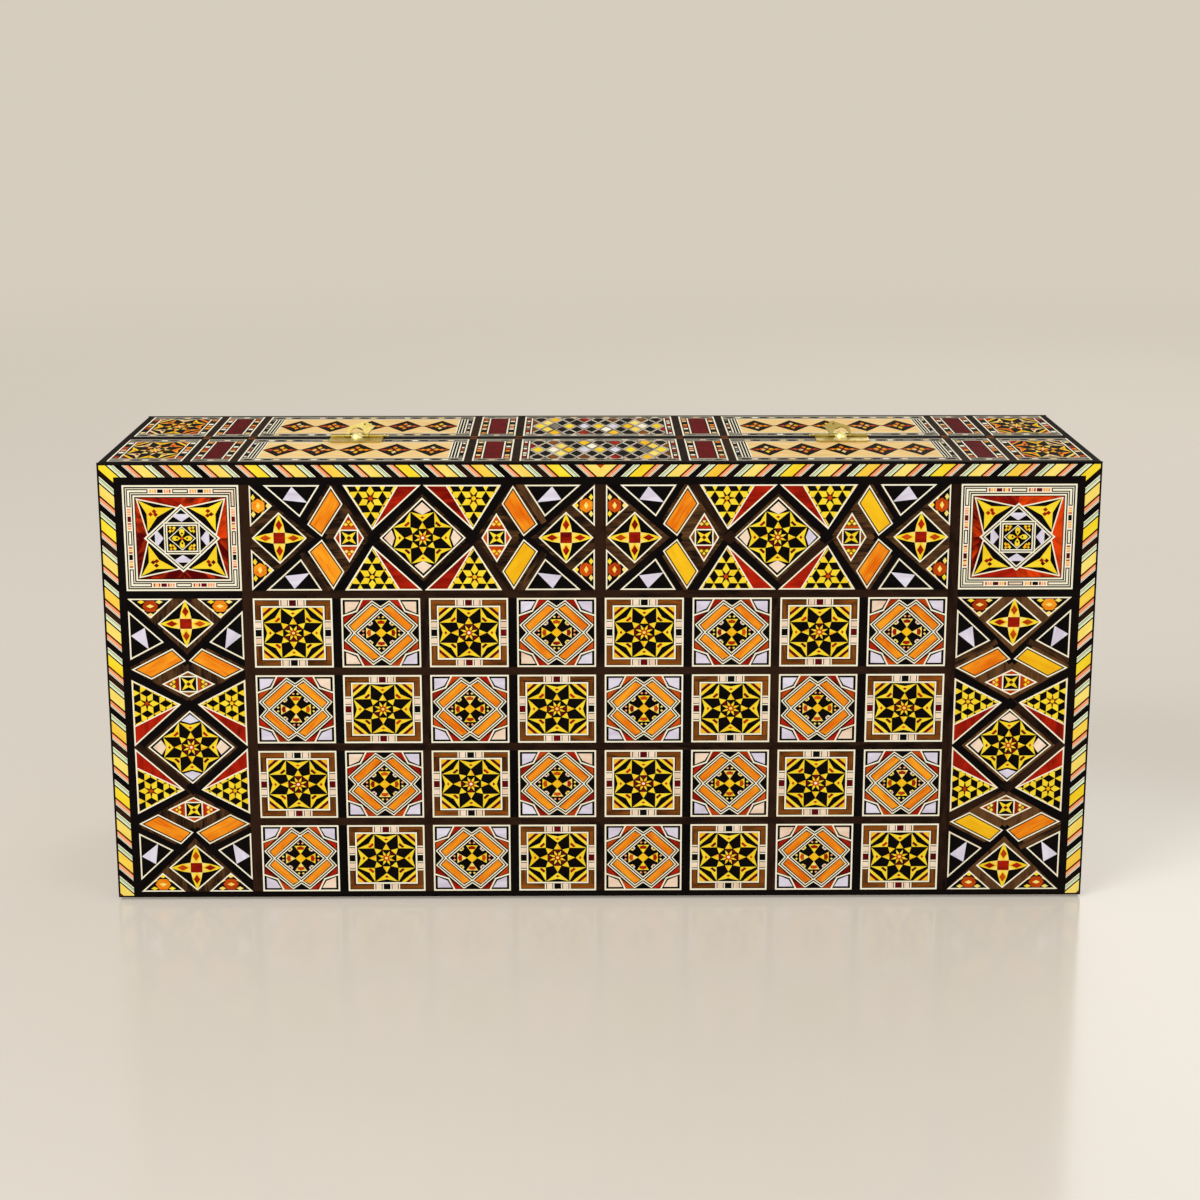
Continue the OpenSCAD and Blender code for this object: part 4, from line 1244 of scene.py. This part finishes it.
def solid_walnut(name, stretch, light, dark, gloss):
    """Oiled walnut with its grain along the axis that stretch leaves slow."""
    material, graph, join = new_finish(name)
    slow = stretched(graph, graph.node("ShaderNodeTexCoord", out="Object"), stretch)
    rings = noise(graph, slow, 4.0, distortion=1.2)
    quick = graph.node("ShaderNodeVectorMath", {"operation": "SCALE"}, {0: slow, "Scale": 9.0})
    pores = noise(graph, quick, 2.0)
    shade = (rings - 0.5) * 2.2 + (pores - 0.5) * 0.7 + 0.5
    join(Base_Color=blend(graph, shade, light, dark), Roughness=gloss + pores * 0.2,
         Normal=bumps(graph, 0.25, 0.2, pores), Coat_Weight=0.1)
    return material


def dressed(material, *nodes):
    """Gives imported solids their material."""
    for node in nodes:
        slots = bpy.data.objects[node].data.materials
        slots.clear()
        slots.append(material)


case_tones = (104, 70, 44), (52, 32, 20), 0.32
walnut_long = solid_walnut("walnut case, grain along", ALONG_X, *case_tones)
walnut_upright = solid_walnut("walnut case, grain upright", ALONG_Z, *case_tones)
lining = solid_walnut("dark walnut lining", ALONG_X, (70, 44, 28), (34, 20, 13), 0.28)
for half in ("front", "rear"):
    dressed(walnut_long, f"{half}_face_board", f"{half}_top_wall", f"{half}_bottom_wall")
    dressed(walnut_upright, f"{half}_left_wall", f"{half}_right_wall")
    dressed(lining, f"{half}_floor_lining")
print("walnut on the case and its lining")

# %% [markdown]
# ## Backgammon points
# The floor of each tray has six points at either end. They are one triangle,
# repeated at a fixed pitch, so Geometry Nodes lay them: a line of places, the
# triangle on each, and two woods that take turns.

# %% Starting, ending and running a geometry tree
def new_tree(name, inputs):
    """A geometry tree's graph, and a wire from each of its named inputs."""
    tree = bpy.data.node_groups.new(name, "GeometryNodeTree")
    for label, kind in inputs.items():
        tree.interface.new_socket(label, in_out="INPUT", socket_type="NodeSocket" + kind)
    tree.interface.new_socket("Geometry", in_out="OUTPUT", socket_type="NodeSocketGeometry")
    graph = Graph(tree)
    return graph, {label: graph.node("NodeGroupInput", out=label) for label in inputs}


def ending_in(geometry):
    """The tree whose result is the given geometry."""
    geometry.graph.node("NodeGroupOutput", None, {"Geometry": geometry})
    return geometry.graph.tree


def grown(name, tree, values):
    """Runs a geometry tree with named values and returns the result as a plain mesh."""
    carrier = in_scene(name, bpy.data.meshes.new(name + "_seed"))
    modifier = carrier.modifiers.new("Nodes", "NODES")
    modifier.node_group = tree
    for item in tree.interface.items_tree:
        if item.in_out == "INPUT" and item.name in values:
            modifier[item.identifier] = values[item.name]
    return resolved(carrier)


def resolved(thing):
    """The object with its modifiers turned into a plain mesh."""
    bpy.context.view_layer.update()
    evaluated = thing.evaluated_get(bpy.context.evaluated_depsgraph_get())
    made = bpy.data.meshes.new_from_object(evaluated)
    thing.modifiers.clear()
    thing.data = made
    return thing


# %% A geometry tree that repeats a piece along a line
def repeat_tree():
    """Instances of one piece on a line, in two woods that take turns."""
    graph, given = new_tree("points along a wall", {
        "Piece": "Object", "Count": "Int", "Start": "Vector", "Pitch": "Vector", "Turn": "Vector",
        "First wood": "Material", "Second wood": "Material"})
    line = graph.node("GeometryNodeMeshLine", {"mode": "OFFSET"}, {
        "Count": given["Count"], "Start Location": given["Start"], "Offset": given["Pitch"]})
    index = graph.node("GeometryNodeInputIndex")
    even = graph.node("FunctionNodeCompare", {"data_type": "INT", "operation": "EQUAL"}, {
        2: graph.node("ShaderNodeMath", {"operation": "MODULO"}, {0: index, 1: 2.0}), 3: 0})
    marked = graph.node("GeometryNodeStoreNamedAttribute",
                        {"data_type": "BOOLEAN", "domain": "POINT"},
                        {"Geometry": line, "Name": "first", "Value": even})
    piece = graph.node("GeometryNodeObjectInfo", None, {"Object": given["Piece"]}, out="Geometry")
    rows = graph.node("GeometryNodeInstanceOnPoints", None, {
        "Points": marked, "Instance": piece, "Rotation": given["Turn"]})
    solid = graph.node("GeometryNodeRealizeInstances", None, {"Geometry": rows})
    second = graph.node("GeometryNodeSetMaterial", None, {
        "Geometry": solid, "Material": given["Second wood"]})
    return ending_in(graph.node("GeometryNodeSetMaterial", None, {
        "Geometry": second, "Material": given["First wood"],
        "Selection": graph.node("GeometryNodeInputNamedAttribute", {"data_type": "BOOLEAN"},
                                {"Name": "first"})}))


# %% One point and the four rows of points
TRAY_X, TRAY_H = CORE_X - WALL_T, BOX_H - VENEER - 2 * WALL_T
FLOOR_Y = HALF_D - VENEER - BOARD_T
POINTS, POINT_L, POINT_BASE, POINT_GAP = 6, 185.0, 3.0, 2.0
dark_wood = solid_walnut("dark red point", ALONG_X, (150, 44, 22), (96, 20, 12), 0.26)
pale_wood = solid_walnut("pale point", ALONG_X, (244, 222, 172), (222, 190, 132), 0.26)


def point_plate():
    """A long flat triangle whose base is at the origin and whose tip points along x."""
    half = (TRAY_H / POINTS - POINT_GAP) / 2
    points = [Vector(corner) * MM for corner in ((0, 0, -half), (POINT_L, 0, 0), (0, 0, half))]
    points += [point + Vector((0, LINING * MM, 0)) for point in points]
    mesh = bpy.data.meshes.new("point_plate")
    mesh.from_pydata(points, [], [(0, 1, 2), (5, 4, 3), (0, 3, 4, 1), (1, 4, 5, 2), (2, 5, 3, 0)])
    return bpy.data.objects.new("point_plate", outward(mesh))


points_tree, plate, rows = repeat_tree(), point_plate(), []
for side, turn, woods in ((-1, 0.0, (dark_wood, pale_wood)), (1, math.pi, (pale_wood, dark_wood))):
    start = Vector((side * (TRAY_X - POINT_BASE), -FLOOR_Y,
                    WOOD_Z + WALL_T + TRAY_H / (2 * POINTS))) * MM
    if side > 0:
        start.y += LINING * MM
    rows.append(grown(f"points_{side}", points_tree, {
        "Piece": plate, "Count": POINTS, "Start": start, "Pitch": (0, 0, TRAY_H / POINTS * MM),
        "Turn": (0, 0, turn), "First wood": woods[0], "Second wood": woods[1]}))
bpy.data.objects.remove(plate)
both_halves("backgammon_points", "floor_points", joined("backgammon_points", rows))

# %% [markdown]
# ## Brass
# The hinges and hasps are stamped from thin brass and polished bright. Their packed
# solids have the true shape, so they stay and get a brass whose shine varies a
# little, with the faint scratches of use. One thin level of the hasps, near the top
# of their barrels, is darkened as painted shade and a painted dark reflection, and
# most of each knob is paler, as a painted highlight.

# %% Polished brass
HASP_X, HASP_BACK, HASP_LEAF_T = 127.0, 3.9, 1.0
# Height, half thickness and strength of the painted shade and painted dark reflection on one flat
# level of the hasps
SHADE_LEVEL_Z, SHADE_LEVEL_REACH, SHADE_LEVEL_SHARE = 232.8, 0.125, 0.8
# Middle, radius and soft edge of the painted highlight on the two knobs
KNOB, KNOB_R, KNOB_BLUR = (HASP_X, -HASP_BACK, 232.0), 3.4, 0.05


def knob_highlight_mask(graph, x, y, z):
    """One on most of the two knobs, where their painted highlight goes, and nothing elsewhere, from
    the distance to KNOB.
    """
    folded = graph.node("ShaderNodeCombineXYZ", None, {"X": abs(x), "Y": y, "Z": z})
    distance = graph.node("ShaderNodeVectorMath", {"operation": "DISTANCE"},
                          {0: folded, 1: tuple(c * MM for c in KNOB)}, out="Value")
    return graph.node("ShaderNodeMapRange", None, {
        "Value": distance, "From Min": KNOB_R * MM, "From Max": (KNOB_R - KNOB_BLUR) * MM})


def polished_brass():
    material, graph, join = new_finish("polished brass")
    place = graph.node("ShaderNodeTexCoord", out="Object")
    wear = noise(graph, place, 3.0, scale=260.0)
    scratch = noise(graph, stretched(graph, place, (300.0, 4000.0, 2200.0)), 2.0)
    rubbed = blend(graph, (wear - 0.5) * 2.4 + 0.5, (212, 198, 124), (190, 168, 86))
    x, y, z = [graph.node("ShaderNodeSeparateXYZ", None, {"Vector": place}, out=axis)
               for axis in "XYZ"]
    # Painted shade and a painted dark reflection: brass in a thin band of height round the hasps'
    # flat level is mixed toward dark olive
    shade_level = graph.node("ShaderNodeMath", {"operation": "SUBTRACT", "use_clamp": True},
                       {0: 1.0, 1: abs(z - SHADE_LEVEL_Z * MM) * (1 / (SHADE_LEVEL_REACH * MM))})
    shaded_brass = blend(graph, shade_level * SHADE_LEVEL_SHARE, rubbed, (96, 76, 36))
    knob_highlight = knob_highlight_mask(graph, x, y, z)
    # Painted highlight: most of each knob gets a pale brass colour
    join(Base_Color=blend(graph, knob_highlight, shaded_brass, (255, 246, 176)), Metallic=1.0,
         Roughness=0.22 + wear * 0.16 + knob_highlight * 0.2,
         Normal=bumps(graph, 0.1, 0.2, wear + scratch * 0.2))
    return material


brass = polished_brass()
dressed(brass, "front_hinge_leaves", "rear_hinge_leaves", "hinge_pins",
        *[f"{side}_{part}" for side in ("left", "right")
          for part in ("hasp_leaf", "hasp_pin", "hasp", "keeper")])
print("brass on the hinges and hasps")

# %% [markdown]
# ## Screws
# Only the screws are made again, because a packed screw has a flat top. Each is one
# turned profile with a slot cut across its head, and a tree puts it in every hole
# with the slot at an angle of its own.

# %% One screw
SCREW_SIDES, HEAD_D, SHANK_D, SCREW_L = 24, 3.0, 1.6, 6.5


def turned_profile(profile):
    """A closed solid of revolution round z from (radius, height) points."""
    points, rings, faces = [], [], []
    for r, z in profile:
        count = SCREW_SIDES if r else 1
        rings.append([len(points) + k for k in range(count)])
        points += [Vector((r * math.cos(a), r * math.sin(a), z)) * MM
                   for a in (math.tau * k / SCREW_SIDES for k in range(count))]
    for upper, lower in zip(rings, rings[1:]):
        for k in range(SCREW_SIDES):
            around = (k + 1) % SCREW_SIDES
            if len(upper) == 1:
                faces.append((upper[0], lower[k], lower[around]))
            elif len(lower) == 1:
                faces.append((upper[k], lower[0], upper[around]))
            else:
                faces.append((upper[k], lower[k], lower[around], upper[around]))
    mesh = bpy.data.meshes.new("screw")
    mesh.from_pydata(points, [], faces)
    return outward(mesh)


def screw_body(plate_t):
    """A countersunk screw whose head is at the origin and whose shank points down."""
    tip = -plate_t - SCREW_L
    screw = in_scene("screw", turned_profile([
        (0, 0), (HEAD_D / 2 - 0.06, 0), (HEAD_D / 2, -0.07), (SHANK_D / 2, -plate_t),
        (SHANK_D / 2, tip), (0, tip)]))
    slot_mesh = bpy.data.meshes.new("slot")
    w, d = HEAD_D / 14, HEAD_D / 7
    corners = [(x, y, z) for x in (-HEAD_D, HEAD_D) for y in (-w, w) for z in (-d, d)]
    slot_mesh.from_pydata([Vector(c) * MM for c in corners], [], [
        (0, 1, 3, 2), (4, 6, 7, 5), (0, 4, 5, 1), (2, 3, 7, 6), (0, 2, 6, 4), (1, 5, 7, 3)])
    slot = in_scene("slot", slot_mesh)
    cutter = screw.modifiers.new("slot", "BOOLEAN")
    cutter.object, cutter.operation, cutter.solver = slot, "DIFFERENCE", "EXACT"
    resolved(screw)
    bpy.data.objects.remove(slot)
    bpy.context.scene.collection.objects.unlink(screw)
    return screw


# %% A tree that puts a screw in every hole
def screw_tree():
    """A screw on every point of a mesh, with its head turned to an axis."""
    graph, given = new_tree("screws in holes", {
        "Holes": "Object", "Screw": "Object", "Out": "Vector", "Metal": "Material"})
    holes, screw = [graph.node("GeometryNodeObjectInfo", None, {"Object": given[name]},
                               out="Geometry") for name in ("Holes", "Screw")]
    spin = graph.node("FunctionNodeRandomValue", {"data_type": "FLOAT"},
                      {2: 0.0, 3: math.tau, "Seed": 11}, out=1)
    turned = graph.node("ShaderNodeCombineXYZ", None, {"Z": spin})
    aimed = graph.node("FunctionNodeAlignRotationToVector", {"axis": "Z"},
                       {"Rotation": turned, "Vector": given["Out"]})
    screws = graph.node("GeometryNodeInstanceOnPoints", None,
                        {"Points": holes, "Instance": screw, "Rotation": aimed})
    solid = graph.node("GeometryNodeRealizeInstances", None, {"Geometry": screws})
    return ending_in(graph.node("GeometryNodeSetMaterial", None,
                                {"Geometry": solid, "Material": given["Metal"]}))


# %% Where the screws are
HINGE_X, HINGE_SCREW_X, LEAF_H, LEAF_T = 150.0, 10.0, 8.6, 1.2
BARREL_R, BARREL_ROOM = 1.3, 0.3
SCREW_Z = BARREL_R + (LEAF_H + BARREL_R + BARREL_ROOM) / 2
LUG_R, HASP_ROOM, HASP_LEAF_L, HASP_SCREW_X = 1.2, 0.35, 11.2, 9.8
KEEPER_Y, KEEPER_L, KEEPER_EDGE, KEEPER_SCREW_X, KEEPER_T = 0.7, 9.0, 2.2, 4.3, 0.7


def hole_pairs(middle, offset, y, z):
    """Two holes on each side of the box."""
    return [(side * middle + x, y, z) for side in (-1, 1) for x in (-offset, offset)]


front_holes = hole_pairs(HINGE_X, HINGE_SCREW_X, -SEAM, SCREW_Z)
rear_holes = hole_pairs(HINGE_X, HINGE_SCREW_X, SEAM, SCREW_Z)
hasp_holes = hole_pairs(HASP_X, HASP_SCREW_X, -(HASP_BACK + LUG_R + HASP_ROOM + HASP_LEAF_L / 2),
                        TOP_Z + HASP_LEAF_T)
keeper_holes = hole_pairs(HASP_X, KEEPER_SCREW_X, KEEPER_Y + KEEPER_L - KEEPER_EDGE,
                          TOP_Z + KEEPER_T)

# %% Screws of the hinges, hasps and keepers
holes_tree = screw_tree()
for name, node, body, places, out, plate_t in (
        ("front_hinge_slotted_screws", "front_hinge_screws", "front_half", front_holes,
         (0, 1, 0), LEAF_T),
        ("rear_hinge_slotted_screws", "rear_hinge_screws", "rear_half", rear_holes,
         (0, -1, 0), LEAF_T),
        ("hasp_leaf_slotted_screws", "hasp_leaf_screws", "front_half", hasp_holes,
         (0, 0, 1), HASP_LEAF_T),
        ("keeper_slotted_screws", "keeper_screws", "rear_half", keeper_holes,
         (0, 0, 1), KEEPER_T)):
    spots = bpy.data.meshes.new(name + "_holes")
    spots.from_pydata([Vector(place) * MM for place in places], [], [])
    helpers = [bpy.data.objects.new(name + "_holes", spots), screw_body(plate_t)]
    screws = grown(name, holes_tree, {
        "Holes": helpers[0], "Screw": helpers[1], "Out": out, "Metal": brass})
    for helper in helpers:
        bpy.data.objects.remove(helper)
    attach(screws, body)
    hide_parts(node)
    solid = [round(c / MM, 2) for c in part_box(node)[0]]
    own = [round(min(v.co[k] for v in screws.data.vertices) / MM, 2) for k in range(3)]
    print(name, len(screws.data.polygons), "faces, solid from", solid, "own from", own)

# %% [markdown]
# ## Floor and room
# The box stands on a plain pale floor with a soft sheen. The floor lets part of what
# lies under it show, because the front half swings down past it when the box opens,
# and it fades into the room with distance, so that no horizon line shows. The room is
# plain light: a little darker where the camera or a reflection looks straight at it.

# %% Floor
FLOOR_HALF, FADE_FROM, FADE_TO, FLOOR_SHARE = 6, 0.8, 3.4, 0.64


def pale_floor():
    material, graph, join = new_finish("pale floor")
    place = graph.node("ShaderNodeTexCoord", out="Object")
    cloud = noise(graph, place, 2.0, scale=3.0)
    join(Base_Color=blend(graph, cloud, (232, 226, 218), (226, 219, 210)),
         Roughness=0.13 + cloud * 0.04)
    reach = graph.node("ShaderNodeVectorMath", {"operation": "LENGTH"}, {0: place}, out="Value")
    solid = graph.node("ShaderNodeMapRange", {"interpolation_type": "SMOOTHSTEP"}, {
        "Value": reach, "From Min": FADE_FROM, "From Max": FADE_TO, "To Min": FLOOR_SHARE,
        "To Max": 0.0})
    shader = Wire(graph, graph.tree.nodes["Principled BSDF"].outputs[0])
    mixed = graph.node("ShaderNodeMixShader", None, {
        0: solid, 1: graph.node("ShaderNodeBsdfTransparent"), 2: shader})
    graph.feed(graph.tree.nodes["Material Output"].inputs["Surface"], mixed)
    return material


floor_mesh = bpy.data.meshes.new("floor")
floor_mesh.from_pydata([(*corner, 0) for corner in block(FLOOR_HALF, FLOOR_HALF)], [],
                       [(0, 1, 2, 3)])
floor_mesh.materials.append(pale_floor())
in_scene("floor", floor_mesh)
print("floor:", 2 * FLOOR_HALF, "m wide")

# %% Room
ROOM_LIGHT, LIGHT_WHEN_SEEN = 0.55, 0.45
world = bpy.data.worlds.new("pale room")
bpy.context.scene.world = world
world.use_nodes = True
sky, wall = Graph(world.node_tree), world.node_tree.nodes["Background"]
seen = sky.node("ShaderNodeMath", {"operation": "MAXIMUM"}, {
    k: sky.node("ShaderNodeLightPath", out=ray)
    for k, ray in enumerate(("Is Camera Ray", "Is Glossy Ray"))})
sky.feed(wall.inputs["Color"], blend(sky, seen, (236, 232, 226), (214, 205, 190)))
sky.feed(wall.inputs["Strength"], seen * LIGHT_WHEN_SEEN + ROOM_LIGHT)
print("room:", world.name)

# %% [markdown]
# ## Lamps and camera
# One large soft lamp shines from the upper left, and weaker ones from the right and
# from behind. The camera stands where the photograph was taken from, a little above
# the box, with a long lens.

# %% Lamps
def lamp(name, place, size, power, target=(0, 0, 0.1)):
    light = bpy.data.lights.new(name, "AREA")
    light.shape, light.size, light.energy = "SQUARE", size, power
    holder = in_scene(name, light)
    holder.location = place
    holder.rotation_euler = (Vector(target) - Vector(place)).to_track_quat("-Z", "Y").to_euler()
    print(f"{name} lamp: {power} W")


lamp("window", (-1.3, -1.5, 1.7), 1.2, 40)
lamp("fill", (1.6, -1.4, 0.9), 1.4, 9)
lamp("back", (0.9, 1.7, 1.3), 1.4, 12)

# %% Camera at the photograph's place
CAMERA_AT = (-0.0098, -1.2024, 0.4363)
YAW, PITCH, LENS, SENSOR = 0.0085, 0.2399, 69.3, 36.0
look = Vector((math.sin(YAW) * math.cos(PITCH), math.cos(YAW) * math.cos(PITCH),
               -math.sin(PITCH)))
camera = in_scene("camera", bpy.data.cameras.new("camera"))
camera.data.lens, camera.data.sensor_width = LENS, SENSOR
camera.location = CAMERA_AT
camera.rotation_euler = look.to_track_quat("-Z", "Y").to_euler()
bpy.context.scene.camera = camera
bpy.context.scene.view_settings.view_transform = "Standard"
print(f"camera: {LENS} mm lens at {CAMERA_AT}")
